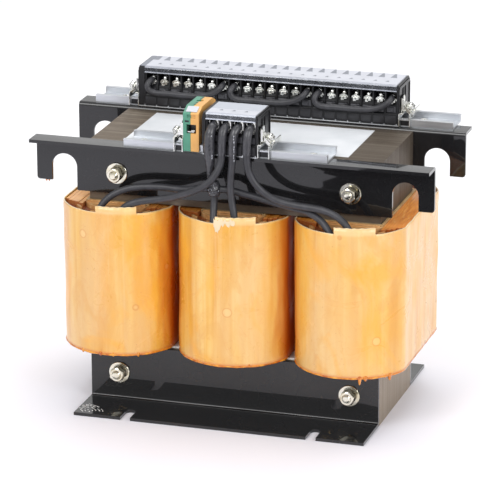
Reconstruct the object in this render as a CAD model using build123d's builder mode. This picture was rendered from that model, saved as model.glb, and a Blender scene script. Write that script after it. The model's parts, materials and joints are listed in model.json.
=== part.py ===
"""Three-phase dry type transformer with a laminated three-limb core, three wrapped coils,
two top clamp angles with lifting hooks, two slotted foot angles and rail-mounted terminals.

Millimetres. +X along the row of coils, +Y to the rear, +Z up.
The origin is the middle of the core on the surface that the feet stand on.
"""

import os
from math import cos, pi, radians, sin, sqrt, tan

from build123d import *

os.makedirs("parts", exist_ok=True)

# ---------------------------------------------------------------- dimensions
limb_pitch = 116.0  # centre to centre of the three limbs
limb_w = 58.0  # width of limbs and yokes
core_w = 2 * limb_pitch + limb_w
stack = 117.0  # thickness of the lamination stack
window_h = 145.0
core_h = window_h + 2 * limb_w
half_stack = stack / 2
window_top = limb_w + window_h

sheet_t = 3.2  # clamp and foot angles
bend_r = 4.0  # outer bend radius
plate_y = half_stack + sheet_t

clamp_half_l = 197.2
clamp_top = 263.7
clamp_bottom = 210.5
clamp_flange_y = 82.8
hook_x = 169.1  # lifting hook slots
hook_r = 12.7
hook_z = 233.5
hook_leg_bottom = 218.9

foot_plate_top = 57.0
foot_flange_y = 114.8
foot_slot_x = 92.8
foot_slot_w = 10.0
foot_slot_end = 97.5  # centre of the round end of a slot

bolt_x = limb_pitch
bolt_z_top = 231.0
bolt_z_low = 28.9
bolt_d = 8.0
bolt_hole = 9.0
nut_af = 13.0
nut_h = 6.5
washer_od = 21.0
washer_t = 1.6
spring_od = 14.0
spring_t = 2.0
bolt_head_h = 5.3

coil_bottom = 60.0
coil_rim = 202.5  # upper rim of the outer wrap
wrap_tab_top = 209.0
coil_half_w = 54.0
coil_cap_r = 57.0
coil_cap_y = 45.0  # centre of the round coil ends
wrap_t = 1.0
winding_top = 197.0

rail_w = 35.0
rail_h = 7.5
rail_y_front = -62.3
rail_y_rear = 80.5
rail_z = clamp_top
rail_front_x = (-102.8, 98.1)
rail_rear_x = (-181.0, 183.0)
rail_screw_front = ((-86.8, -66.0), (81.0, -66.0))
rail_screw_rear = ((-154.6, 78.5), (150.5, 78.5))

pole_pitch = 12.2
pole_gap = 0.06
pole_wall = 1.5
block_depth = 42.5
block_bottom = 265.0
block_seat = rail_z + rail_h + 0.1
block_platform = 288.0
block_ridge = 300.0
block_wall_top = 303.2
cover_top = 304.5
front_block_y = -61.8
rear_block_y = 82.0
front_poles = 4
rear_poles = 21
front_x0 = -19.7  # left edge of the first pole
rear_x0 = -128.7
front_plates = (2.9, 1.5)  # end plates, left and right
rear_plates = (6.0, 1.9)
marker_span = {"front": (-18.5, -2.5), "rear": (-18.5, 19.5)}  # depth that the labels cover

lead_d = 6.8
jumper_d = 6.0
sleeve_d = 8.2
splice_sleeve_d = 9.0

coils = {"left": -limb_pitch, "middle": 0.0, "right": limb_pitch}


# ---------------------------------------------------------------- helpers
def coil_outline(cx, half_w, cap_r, corner):
    """Closed outline of one coil layer: straight flanks and round ends."""
    y = coil_cap_y + sqrt(cap_r**2 - half_w**2)
    top = coil_cap_y + cap_r
    with BuildSketch(mode=Mode.PRIVATE) as outline:
        with BuildLine():
            Line((cx + half_w, -y), (cx + half_w, y))
            ThreePointArc((cx + half_w, y), (cx, top), (cx - half_w, y))
            Line((cx - half_w, y), (cx - half_w, -y))
            ThreePointArc((cx - half_w, -y), (cx, -top), (cx + half_w, -y))
        make_face()
        fillet(outline.vertices(), radius=corner)
    return outline.sketch


def route_radii(points):
    """The largest arcs that fit at the corners of a route."""
    p = [Vector(*q) for q in points]
    found = []
    for a, b, c in zip(p, p[1:], p[2:]):
        turn = (b - a).get_angle(c - b)
        found.append(0.45 * min((b - a).length, (c - b).length) / tan(radians(turn) / 2))
    return found


def tube_line(points):
    return FilletPolyline(*points, radius=route_radii(points))


def report_tube(name, part, points, diameter):
    with BuildLine():
        way = tube_line(points)
    length = way.length
    print(
        name,
        "length",
        round(length, 1),
        "radii",
        [round(r, 1) for r in route_radii(points)],
        "volume ratio",
        round(part.volume / (length * pi * diameter**2 / 4), 4),
    )


# ---------------------------------------------------------------- core
with BuildPart() as core_e_stack:
    with BuildSketch(Plane.XZ.offset(-half_stack)):
        with Locations((0, window_top / 2)):
            Rectangle(core_w, window_top)
        with Locations(
            (-limb_pitch / 2, limb_w + window_h / 2), (limb_pitch / 2, limb_w + window_h / 2)
        ):
            Rectangle(limb_w, window_h, mode=Mode.SUBTRACT)
        with Locations((-bolt_x, bolt_z_low), (bolt_x, bolt_z_low)):
            Circle(bolt_hole / 2, mode=Mode.SUBTRACT)
    extrude(amount=stack)
core_e_stack.part.label = "core_e_stack"
export_step(core_e_stack.part, "parts/core_e_stack.step")

with BuildPart() as core_top_yoke:
    with BuildSketch(Plane.XZ.offset(-half_stack)):
        with Locations((0, window_top + limb_w / 2)):
            Rectangle(core_w, limb_w)
        with Locations((-bolt_x, bolt_z_top), (bolt_x, bolt_z_top)):
            Circle(bolt_hole / 2, mode=Mode.SUBTRACT)
    extrude(amount=stack)
core_top_yoke.part.label = "core_top_yoke"
export_step(core_top_yoke.part, "parts/core_top_yoke.step")

# ---------------------------------------------------------------- top clamp angles
clamp_parts = {}
for side, sign in (("front", -1), ("rear", 1)):
    screws = rail_screw_front if side == "front" else rail_screw_rear
    with BuildPart() as clamp:
        with BuildSketch(Plane.YZ.offset(-clamp_half_l)) as profile:
            with BuildLine():
                Polyline(
                    (sign * half_stack, clamp_bottom),
                    (sign * half_stack, clamp_top),
                    (sign * clamp_flange_y, clamp_top),
                    (sign * clamp_flange_y, clamp_top - sheet_t),
                    (sign * plate_y, clamp_top - sheet_t),
                    (sign * plate_y, clamp_bottom),
                    close=True,
                )
            make_face()
            outer = profile.vertices().sort_by_distance((sign * half_stack, clamp_top))[0]
            fillet(outer, radius=bend_r)
            inner = profile.vertices().sort_by_distance((sign * plate_y, clamp_top - sheet_t))[0]
            fillet(inner, radius=bend_r - sheet_t + 0.2)
        extrude(amount=2 * clamp_half_l)
        # hook slots, open downwards, with a shorter outer leg
        with BuildSketch(Plane.XZ.offset(-100)):
            for s in (-1, 1):
                with Locations((s * hook_x, hook_z)):
                    Circle(hook_r)
                with Locations((s * hook_x, (hook_z + clamp_bottom) / 2 - 5)):
                    Rectangle(2 * hook_r, hook_z - clamp_bottom + 10)
                with Locations((s * (hook_x + 30), hook_leg_bottom - 10)):
                    Rectangle(60, 20)
        extrude(amount=200, mode=Mode.SUBTRACT)
        with BuildSketch(Plane.XZ.offset(-100)):
            with Locations((-bolt_x, bolt_z_top), (bolt_x, bolt_z_top)):
                Circle(bolt_hole / 2)
        extrude(amount=200, mode=Mode.SUBTRACT)
        with BuildSketch(Plane.XY.offset(clamp_top - 10)):
            with Locations(*screws):
                Circle(2.0)
        extrude(amount=20, mode=Mode.SUBTRACT)
        legs = (
            clamp.edges()
            .filter_by(Axis.Y)
            .filter_by(lambda e: abs(e.center().Z - hook_leg_bottom) < 0.1)
            .filter_by(lambda e: abs(e.center().X) > hook_x + 20)
        )
        fillet(legs, radius=3)
    clamp.part.label = f"top_clamp_{side}"
    export_step(clamp.part, f"parts/top_clamp_{side}.step")

# ---------------------------------------------------------------- foot angles
for side, sign in (("front", -1), ("rear", 1)):
    with BuildPart() as foot:
        with BuildSketch(Plane.YZ.offset(-core_w / 2)) as profile:
            with BuildLine():
                Polyline(
                    (sign * half_stack, 0),
                    (sign * half_stack, foot_plate_top),
                    (sign * plate_y, foot_plate_top),
                    (sign * plate_y, sheet_t),
                    (sign * foot_flange_y, sheet_t),
                    (sign * foot_flange_y, 0),
                    close=True,
                )
            make_face()
            outer = profile.vertices().sort_by_distance((sign * half_stack, 0))[0]
            fillet(outer, radius=bend_r)
            inner = profile.vertices().sort_by_distance((sign * plate_y, sheet_t))[0]
            fillet(inner, radius=bend_r - sheet_t + 1.2)
        extrude(amount=core_w)
        with BuildSketch(Plane.XY.offset(-5)):
            for s in (-1, 1):
                with Locations((s * foot_slot_x, sign * foot_slot_end)):
                    Circle(foot_slot_w / 2)
                with Locations((s * foot_slot_x, sign * (foot_slot_end + 12))):
                    Rectangle(foot_slot_w, 24)
        extrude(amount=12, mode=Mode.SUBTRACT)
        with BuildSketch(Plane.XZ.offset(-100)):
            with Locations((-bolt_x, bolt_z_low), (bolt_x, bolt_z_low)):
                Circle(bolt_hole / 2)
        extrude(amount=200, mode=Mode.SUBTRACT)
    foot.part.label = f"foot_{side}"
    export_step(foot.part, f"parts/foot_{side}.step")

# ---------------------------------------------------------------- clamp bolts
bolt_spots = [(x, z) for x in (-bolt_x, bolt_x) for z in (bolt_z_low, bolt_z_top)]
front_washer = plate_y + washer_t
front_spring = front_washer + spring_t
front_nut = front_spring + nut_h
bolt_end = front_nut + 2.2

with BuildPart() as clamp_bolts:
    with BuildSketch(Plane.XZ.offset(-(plate_y + washer_t))):
        with Locations(*bolt_spots):
            Circle(bolt_d / 2)
    extrude(amount=plate_y + washer_t + bolt_end)
    with BuildSketch(Plane.XZ.offset(-(plate_y + washer_t + bolt_head_h))):
        with Locations(*bolt_spots):
            RegularPolygon(nut_af / 2, 6, major_radius=False)
    extrude(amount=bolt_head_h)
    tips = clamp_bolts.faces().filter_by(Axis.Y).sort_by(Axis.Y)[:4]
    chamfer(tips.edges(), length=1.0)
clamp_bolts.part.label = "clamp_bolts"
export_step(clamp_bolts.part, "parts/clamp_bolts.step")

with BuildPart() as clamp_washers:
    for plane in (Plane.XZ.offset(plate_y), Plane.XZ.offset(-(plate_y + washer_t))):
        with BuildSketch(plane):
            with Locations(*bolt_spots):
                Circle(washer_od / 2)
                Circle(bolt_hole / 2 - 0.2, mode=Mode.SUBTRACT)
        extrude(amount=washer_t)
clamp_washers.part.label = "clamp_washers"
export_step(clamp_washers.part, "parts/clamp_washers.step")

with BuildPart() as clamp_spring_washers:
    with BuildSketch(Plane.XZ.offset(front_washer)):
        with Locations(*bolt_spots):
            Circle(spring_od / 2)
            Circle(bolt_hole / 2 - 0.2, mode=Mode.SUBTRACT)
        for x, z in bolt_spots:
            with Locations((x + 5, z + 3.5)):
                Rectangle(5, 0.8, rotation=35, mode=Mode.SUBTRACT)
    extrude(amount=spring_t)
clamp_spring_washers.part.label = "clamp_spring_washers"
export_step(clamp_spring_washers.part, "parts/clamp_spring_washers.step")

with BuildPart() as clamp_nuts:
    with BuildSketch(Plane.XZ.offset(front_spring)):
        with Locations(*bolt_spots):
            RegularPolygon(nut_af / 2, 6, major_radius=False)
            Circle(bolt_d / 2, mode=Mode.SUBTRACT)
    extrude(amount=nut_h)
clamp_nuts.part.label = "clamp_nuts"
export_step(clamp_nuts.part, "parts/clamp_nuts.step")

# ---------------------------------------------------------------- coil supports
with BuildPart() as coil_support_strips:
    with BuildSketch(Plane.XY.offset(limb_w)):
        with Locations((-limb_pitch / 2, 0), (limb_pitch / 2, 0)):
            Rectangle(limb_w - 1, stack)
    extrude(amount=coil_bottom - limb_w)
coil_support_strips.part.label = "coil_support_strips"
export_step(coil_support_strips.part, "parts/coil_support_strips.step")

# ---------------------------------------------------------------- coils
former_x = limb_w + 1.0
former_y = stack + 1.0
former_t = 2.4
inner_ring = (33.0, 36.5, 41.0, 44.0)  # half width and cap radius, inside then outside
outer_ring = (44.0, 47.0, 53.0, 56.0)
tab_span = {"left": (-8.4, 30.0), "middle": (-5.0, 32.0), "right": (-5.0, 32.5)}

for name, cx in coils.items():
    with BuildPart() as coil_former:
        with BuildSketch(Plane.XY.offset(coil_bottom)):
            with Locations((cx, 0)):
                Rectangle(former_x + 2 * former_t, former_y + 2 * former_t)
                Rectangle(former_x, former_y, mode=Mode.SUBTRACT)
        extrude(amount=coil_rim - coil_bottom)
    coil_former.part.label = f"coil_former_{name}"
    export_step(coil_former.part, f"parts/coil_former_{name}.step")

    with BuildPart() as inner_winding:
        with BuildSketch(Plane.XY.offset(coil_bottom + 2)):
            add(coil_outline(cx, inner_ring[2], inner_ring[3], 9))
            add(coil_outline(cx, inner_ring[0], inner_ring[1], 2), mode=Mode.SUBTRACT)
        extrude(amount=winding_top - coil_bottom - 2)
    inner_winding.part.label = f"inner_winding_{name}"
    export_step(inner_winding.part, f"parts/inner_winding_{name}.step")

    with BuildPart() as outer_winding:
        with BuildSketch(Plane.XY.offset(coil_bottom)):
            add(coil_outline(cx, outer_ring[2], outer_ring[3], 11))
            add(coil_outline(cx, outer_ring[0], outer_ring[1], 9), mode=Mode.SUBTRACT)
        extrude(amount=winding_top - coil_bottom)
    outer_winding.part.label = f"outer_winding_{name}"
    export_step(outer_winding.part, f"parts/outer_winding_{name}.step")

    with BuildPart() as coil_wrap:
        with BuildSketch(Plane.XY.offset(coil_bottom)):
            add(coil_outline(cx, coil_half_w, coil_cap_r, 12))
            add(coil_outline(cx, coil_half_w - wrap_t, coil_cap_r - wrap_t, 11), mode=Mode.SUBTRACT)
        extrude(amount=coil_rim - coil_bottom)
        # raised tongue of the wrap at the front
        a, b = tab_span[name]
        with BuildSketch(Plane.XY.offset(coil_rim)):
            with Locations((cx, -coil_cap_y)):
                Circle(coil_cap_r)
                Circle(coil_cap_r - wrap_t, mode=Mode.SUBTRACT)
            with Locations((cx + (a + b) / 2, -coil_cap_y - 40)):
                Rectangle(b - a, 80, mode=Mode.INTERSECT)
        extrude(amount=wrap_tab_top - coil_rim)
    coil_wrap.part.label = f"coil_wrap_{name}"
    export_step(coil_wrap.part, f"parts/coil_wrap_{name}.step")

# upright spacer sticks in the duct between the two windings
stick_angles = (-48, -18, 18, 48)
with BuildPart() as duct_sticks:
    with BuildSketch(Plane.XY.offset(coil_bottom)):
        for cx in coils.values():
            for end in (-1, 1):
                for a in stick_angles:
                    t = radians(a)
                    place = (cx + 45.5 * sin(t), end * (coil_cap_y + 45.5 * cos(t)))
                    with Locations(place):
                        Rectangle(8, 2.6, rotation=-end * a)
    extrude(amount=200.0 - coil_bottom)
duct_sticks.part.label = "duct_sticks"
export_step(duct_sticks.part, "parts/duct_sticks.step")

# pressed board blocks between the former and the round ends of the inner winding
with BuildPart() as end_packing:
    with BuildSketch(Plane.XY.offset(coil_bottom)):
        for cx in coils.values():
            with Locations((cx, coil_cap_y), (cx, -coil_cap_y)):
                Circle(36.0)
        Rectangle(400, former_y + 2 * former_t + 0.2, mode=Mode.SUBTRACT)
    extrude(amount=201.0 - coil_bottom)
end_packing.part.label = "end_packing"
export_step(end_packing.part, "parts/end_packing.step")

# ---------------------------------------------------------------- terminal rails
for side, yc, span, screws in (
    ("front", rail_y_front, rail_front_x, rail_screw_front),
    ("rear", rail_y_rear, rail_rear_x, rail_screw_rear),
):
    with BuildPart() as rail:
        with BuildSketch(Plane.YZ.offset(span[0])):
            with Locations((yc, rail_z + rail_h / 2)):
                Rectangle(rail_w, rail_h)
            with Locations((yc, rail_z + 1.5 + rail_h / 2)):
                Rectangle(27.0, rail_h, mode=Mode.SUBTRACT)
            # shallow clip groove under each lip
            with Locations(
                (yc - rail_w / 2, rail_z + (rail_h - 1.5) / 2),
                (yc + rail_w / 2, rail_z + (rail_h - 1.5) / 2),
            ):
                Rectangle(1.6, rail_h - 1.5, mode=Mode.SUBTRACT)
        extrude(amount=span[1] - span[0])
        with BuildSketch(Plane.XY.offset(rail_z - 1)):
            with Locations(*screws):
                Circle(2.2)
        extrude(amount=4, mode=Mode.SUBTRACT)
    rail.part.label = f"terminal_rail_{side}"
    export_step(rail.part, f"parts/terminal_rail_{side}.step")

rail_screws_all = rail_screw_front + rail_screw_rear
with BuildPart() as rail_screws:
    with BuildSketch(Plane.XY.offset(256.4)):
        with Locations(*rail_screws_all):
            Circle(2.0)
    extrude(amount=rail_z + 1.5 - 256.4)
    with BuildSketch(Plane.XY.offset(rail_z + 1.5)):
        with Locations(*rail_screws_all):
            Circle(4.0)
    extrude(amount=3.1)
    heads = rail_screws.faces().filter_by(Axis.Z).sort_by(Axis.Z)[-4:]
    fillet(heads.edges(), radius=1.2)
    with BuildSketch(Plane.XY.offset(rail_z + 3.2)):
        with Locations(*rail_screws_all):
            Rectangle(5, 1)
            Rectangle(1, 5)
    extrude(amount=3, mode=Mode.SUBTRACT)
rail_screws.part.label = "rail_screws"
export_step(rail_screws.part, "parts/rail_screws.step")

# ---------------------------------------------------------------- terminal blocks
hd = block_depth / 2
blocks = {
    "front": (front_block_y, rail_y_front, front_x0, front_poles, front_plates),
    "rear": (rear_block_y, rail_y_rear, rear_x0, rear_poles, rear_plates),
}
pole_centre = {}
for side, (yc, yr, x0, count, plates) in blocks.items():
    lefts = [x0 + i * pole_pitch for i in range(count)]
    centres = [x + pole_wall + (pole_pitch - pole_wall) / 2 for x in lefts]
    pole_centre[side] = centres
    x_end = x0 + count * pole_pitch

    with BuildPart() as poles:
        with BuildSketch(*[Plane.YZ.offset(x) for x in lefts]):
            with BuildLine():
                Polyline(
                    (yc - hd, block_bottom),
                    (yc - hd, 275.5),
                    (yc - hd + 1.6, 277),
                    (yc - hd + 1.6, 284),
                    (yc - hd + 4, 286.2),
                    (yc - hd + 4, block_platform),
                    (yc - 4.5, block_platform),
                    (yc - 4.5, block_ridge),
                    (yc + 4.5, block_ridge),
                    (yc + 4.5, block_platform),
                    (yc + hd - 4, block_platform),
                    (yc + hd - 4, 286.2),
                    (yc + hd - 1.6, 284),
                    (yc + hd - 1.6, 277),
                    (yc + hd, 275.5),
                    (yc + hd, block_bottom),
                    close=True,
                )
            make_face()
            with Locations((yr, (block_bottom + block_seat) / 2 - 2)):
                Rectangle(rail_w + 0.3, block_seat - block_bottom + 4, mode=Mode.SUBTRACT)
        extrude(amount=pole_pitch - pole_gap)
        # partition wall on the left of each pole
        with BuildSketch(*[Plane.YZ.offset(x) for x in lefts]):
            with BuildLine():
                Polyline(
                    (yc - hd, 274),
                    (yc - hd, 285),
                    (yc - hd + 1.45, 290),
                    (yc - hd + 1.45, block_wall_top),
                    (yc + hd - 1.45, block_wall_top),
                    (yc + hd - 1.45, 290),
                    (yc + hd, 285),
                    (yc + hd, 274),
                    close=True,
                )
            make_face()
        extrude(amount=pole_wall)
        # seat of the contact bar and the screw holes
        with BuildSketch(Plane.XY.offset(block_platform - 1.5)):
            with Locations(*[(x, yc + s * 11.2) for x in centres for s in (-1, 1)]):
                Rectangle(7.2, 10.4)
        extrude(amount=1.5, mode=Mode.SUBTRACT)
        with BuildSketch(Plane.XY.offset(block_platform - 9)):
            with Locations(*[(x, yc + s * 12.5) for x in centres for s in (-1, 1)]):
                Circle(2.1)
        extrude(amount=9, mode=Mode.SUBTRACT)
    poles.part.label = f"{side}_terminal_bodies"
    export_step(poles.part, f"parts/{side}_terminal_bodies.step")

    with BuildPart() as contacts:
        with BuildSketch(Plane.XY.offset(block_platform - 1.5)):
            with Locations(*[(x, yc + s * 11.2) for x in centres for s in (-1, 1)]):
                Rectangle(7.2, 10.4)
            with Locations(*[(x, yc + s * 12.5) for x in centres for s in (-1, 1)]):
                Circle(2.1, mode=Mode.SUBTRACT)
        extrude(amount=1.5)
    contacts.part.label = f"{side}_terminal_contacts"
    export_step(contacts.part, f"parts/{side}_terminal_contacts.step")

    with BuildPart() as term_screws:
        spots = [(x, yc + s * 12.5) for x in centres for s in (-1, 1)]
        with BuildSketch(Plane.XY.offset(block_platform - 8)):
            with Locations(*spots):
                Circle(1.95)
        extrude(amount=8)
        with BuildSketch(Plane.XY.offset(block_platform)):
            with Locations(*spots):
                Rectangle(8.6, 8.6)
        extrude(amount=1.2)
        with BuildSketch(Plane.XY.offset(block_platform + 1.2)):
            with Locations(*spots):
                Circle(3.4)
        extrude(amount=2.6)
        with BuildSketch(Plane.XY.offset(block_platform + 2.4)):
            with Locations(*spots):
                Rectangle(5, 1)
                Rectangle(1, 5)
        extrude(amount=2, mode=Mode.SUBTRACT)
    term_screws.part.label = f"{side}_terminal_screws"
    export_step(term_screws.part, f"parts/{side}_terminal_screws.step")

    with BuildPart() as end_plates:
        for x, w in ((x0 - plates[0], plates[0] - pole_gap), (x_end, plates[1])):
            with BuildSketch(Plane.YZ.offset(x)) as face:
                with BuildLine():
                    Polyline(
                        (yc - hd, block_bottom),
                        (yc - hd, 299),
                        (yc - hd + 1.5, cover_top),
                        (yc + hd - 1.5, cover_top),
                        (yc + hd, 299),
                        (yc + hd, block_bottom),
                        close=True,
                    )
                make_face()
                with Locations((yr, (block_bottom + block_seat) / 2 - 2)):
                    Rectangle(rail_w + 0.3, block_seat - block_bottom + 4, mode=Mode.SUBTRACT)
            extrude(amount=w)
    end_plates.part.label = f"{side}_end_plates"
    export_step(end_plates.part, f"parts/{side}_end_plates.step")

    with BuildPart() as cover:
        with BuildSketch(Plane.YZ.offset(x0)):
            with BuildLine():
                Polyline(
                    (yc - hd, 298.3),
                    (yc - hd, 303.3),
                    (yc - hd + 1.2, cover_top),
                    (yc + hd - 1.2, cover_top),
                    (yc + hd, 303.3),
                    (yc + hd, 298.3),
                    (yc + hd - 1.2, 298.3),
                    (yc + hd - 1.2, block_wall_top),
                    (yc - hd + 1.2, block_wall_top),
                    (yc - hd + 1.2, 298.3),
                    close=True,
                )
            make_face()
        extrude(amount=count * pole_pitch - pole_gap)
    cover.part.label = f"{side}_terminal_cover"
    export_step(cover.part, f"parts/{side}_terminal_cover.step")

    with BuildPart() as marker:
        with BuildSketch(Plane.XY.offset(cover_top)):
            front_edge, rear_edge = marker_span[side]
            with Locations((x0 + count * pole_pitch / 2, yc + (front_edge + rear_edge) / 2)):
                Rectangle(count * pole_pitch - 1, rear_edge - front_edge)
            for x in lefts[1:]:
                with BuildLine():
                    Polyline(
                        (x - 1.4, yc - 10.5), (x + 1.4, yc - 10.5), (x + 0.4, yc - 7), close=True
                    )
                make_face(mode=Mode.SUBTRACT)
                if rear_edge > 10:
                    with BuildLine():
                        Polyline(
                            (x - 3.2, yc + 6), (x + 3.2, yc + 6), (x + 1.6, yc + 16),
                            (x - 0.4, yc + 16), close=True
                        )
                    make_face(mode=Mode.SUBTRACT)
        extrude(amount=0.5)
    marker.part.label = f"{side}_marker_strip"
    export_step(marker.part, f"parts/{side}_marker_strip.step")

# ---------------------------------------------------------------- earth terminal
earth_x = (-42.5, -35.0, -26.8)
earth_profile = (
    (-82.0, 264.9),
    (-82.0, 302.0),
    (-70.0, 307.0),
    (-38.7, 307.0),
    (-29.0, 302.5),
    (-29.0, 272.0),
    (-40.5, 272.0),
    (-40.5, 264.9),
    (-44.6, 264.9),
    (-44.6, block_seat),
    (-80.0, block_seat),
    (-80.0, 264.9),
)
for colour, xa, xb in (
    ("green", earth_x[0], earth_x[1]),
    ("yellow", earth_x[1], earth_x[2]),
):
    with BuildPart() as earth:
        with BuildSketch(Plane.YZ.offset(xa)):
            with BuildLine():
                Polyline(*earth_profile, close=True)
            make_face()
        extrude(amount=xb - xa)
        # wire entry and the shallow recess above it
        with BuildSketch(Plane.XZ.offset(82.5)):
            with Locations((-34.3, 286.9)):
                Rectangle(9.4, 8.6)
        extrude(amount=-13, mode=Mode.SUBTRACT)
        with BuildSketch(Plane.XZ.offset(82.5)):
            with Locations((-34.3, 299.0)):
                Rectangle(8.0, 3.0)
        extrude(amount=-2.0, mode=Mode.SUBTRACT)
        # screwdriver well in the top
        with BuildSketch(Plane.XY.offset(308)):
            with Locations((-35.0, -52.0)):
                Circle(3.4)
        extrude(amount=-14, mode=Mode.SUBTRACT)
    earth.part.label = f"earth_terminal_{colour}"
    export_step(earth.part, f"parts/earth_terminal_{colour}.step")

with BuildPart() as earth_clamp:
    with BuildSketch(Plane.XZ.offset(78.0)):
        with Locations((-34.3, 286.9)):
            Rectangle(9.0, 8.2)
        with Locations((-34.3, 287.6)):
            Rectangle(6.6, 5.4, mode=Mode.SUBTRACT)
    extrude(amount=-8.3)
    with BuildSketch(Plane.XY.offset(294.05)):
        with Locations((-35.0, -52.0)):
            Circle(3.2)
    extrude(amount=4)
    with BuildSketch(Plane.XY.offset(296.8)):
        with Locations((-35.0, -52.0)):
            Rectangle(8, 1)
    extrude(amount=3, mode=Mode.SUBTRACT)
earth_clamp.part.label = "earth_terminal_clamp"
export_step(earth_clamp.part, "parts/earth_terminal_clamp.step")

marker_dir = Vector(0, 12.0, 5.0).normalized()
marker_normal = Vector(0, -5.0, 12.0).normalized()
marker_centre = Vector(-34.6, -76.0, 304.5)
with BuildPart() as earth_marker:
    with BuildSketch(Plane(origin=marker_centre, x_dir=(1, 0, 0), z_dir=tuple(marker_normal))):
        Rectangle(11.0, 8.5)
    extrude(amount=0.8)
earth_marker.part.label = "earth_terminal_marker"
export_step(earth_marker.part, "parts/earth_terminal_marker.step")

# ---------------------------------------------------------------- end clamps on the rails
# (x of the face against the terminals, which way it points, rail centre, width)
end_clamps = (
    (-42.6, -1, rail_y_front, 9.2),
    (30.7, 1, rail_y_front, 11.8),
    (-134.8, -1, rail_y_rear, 10.5),
    (129.5, 1, rail_y_rear, 11.6),
)
clamp_screw_solids = []
with BuildPart() as end_clamp_brackets:
    for x, s, yr, w in end_clamps:
        # saddle over the rail with a hooked foot at each side
        with BuildSketch(Plane.YZ.offset(x if s > 0 else x - w)):
            with Locations((yr, block_seat + 0.9)):
                Rectangle(rail_w + 5.2, 1.8)
            with Locations((yr - rail_w / 2 - 1.4, 268.9), (yr + rail_w / 2 + 1.4, 268.9)):
                Rectangle(2.4, 8.2)
        extrude(amount=w)
        # upright tongue against the terminals
        with BuildSketch(Plane.YZ.offset(x if s > 0 else x - 1.5)):
            with BuildLine():
                Polyline(
                    (yr - 11, block_seat + 1),
                    (yr - 11, 290),
                    (yr - 9.5, 292),
                    (yr - 3.0, 292),
                    (yr - 1.5, 290),
                    (yr - 1.5, block_seat + 1),
                    close=True,
                )
            make_face()
        extrude(amount=1.5)
        # sloping arm that carries the clamping screw
        with BuildSketch(Plane.XZ.offset(-(yr - 1.5))):
            with BuildLine():
                Polyline(
                    (x + s * 1.4, 284.0),
                    (x + s * 12.0, 273.4),
                    (x + s * 14.2, 273.4),
                    (x + s * 1.4, 286.2),
                    close=True,
                )
            make_face()
        extrude(amount=9.5)
end_clamp_brackets.part.label = "end_clamp_brackets"

with BuildPart() as end_clamp_screws:
    for x, s, yr, w in end_clamps:
        n = Vector(s * 1, 0, 1).normalized()
        seat = Vector(x + s * 7.8, yr - 6.2, 279.8)
        with BuildSketch(Plane(origin=seat, x_dir=(0, 1, 0), z_dir=tuple(n))):
            Circle(4.4)
        extrude(amount=3.2)
        with BuildSketch(Plane(origin=seat + n * 3.2, x_dir=(0, 1, 0), z_dir=tuple(n))):
            Circle(3.2)
        extrude(amount=4.0)
        with BuildSketch(Plane(origin=seat + n * 6.0, x_dir=(0, 1, 0), z_dir=tuple(n))):
            Rectangle(8, 1)
        extrude(amount=3.0, mode=Mode.SUBTRACT)
end_clamp_screws.part.label = "end_clamp_screws"

export_step(end_clamp_brackets.part, "parts/end_clamp_brackets.step")
export_step(end_clamp_screws.part, "parts/end_clamp_screws.step")

# ---------------------------------------------------------------- sleeves and splice on the leads
f = pole_centre["front"]
sleeve_start_y = front_block_y - 12.5 - 4.3 - 0.1
sleeve_routes = {
    "1": (
        splice_sleeve_d,
        [
            (f[0], sleeve_start_y, 292.6),
            (f[0], -82.6, 292.6),
            (f[0] - 1.4, -89.2, 284.0),
            (f[0] - 1.6, -88.8, 266.0),
            (-14.5, -85.0, 248.0),
            (-14.5, -85.0, 236.0),
        ],
    ),
    "2": (
        sleeve_d,
        [
            (f[1], sleeve_start_y, 292.2),
            (f[1], -82.6, 292.2),
            (-2.3, -88.5, 284.5),
            (-2.3, -88.5, 266.0),
        ],
    ),
    "3": (
        sleeve_d,
        [
            (f[2], sleeve_start_y, 292.2),
            (f[2], -82.6, 292.2),
            (8.2, -88.5, 284.5),
            (8.2, -88.5, 266.0),
        ],
    ),
    "4": (
        sleeve_d,
        [
            (f[3], sleeve_start_y, 292.2),
            (f[3], -82.6, 292.2),
            (22.2, -88.5, 284.5),
            (22.2, -88.5, 268.0),
        ],
    ),
}
with BuildPart() as lead_sleeves:
    for key, (d, points) in sleeve_routes.items():
        with BuildLine():
            way = tube_line(points)
        with BuildSketch(Plane(origin=way @ 0, z_dir=way % 0)):
            Circle(d / 2)
        sweep(path=way)
lead_sleeves.part.label = "lead_sleeves"
export_step(lead_sleeves.part, "parts/lead_sleeves.step")

with BuildPart() as lead_splice:
    with BuildSketch(Plane.XY.offset(226.0)):
        with Locations((-11.0, -85.0)):
            RectangleRounded(12.0, 9.6, 3.5)
    extrude(amount=10.0)
lead_splice.part.label = "lead_splice"
export_step(lead_splice.part, "parts/lead_splice.step")

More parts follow.
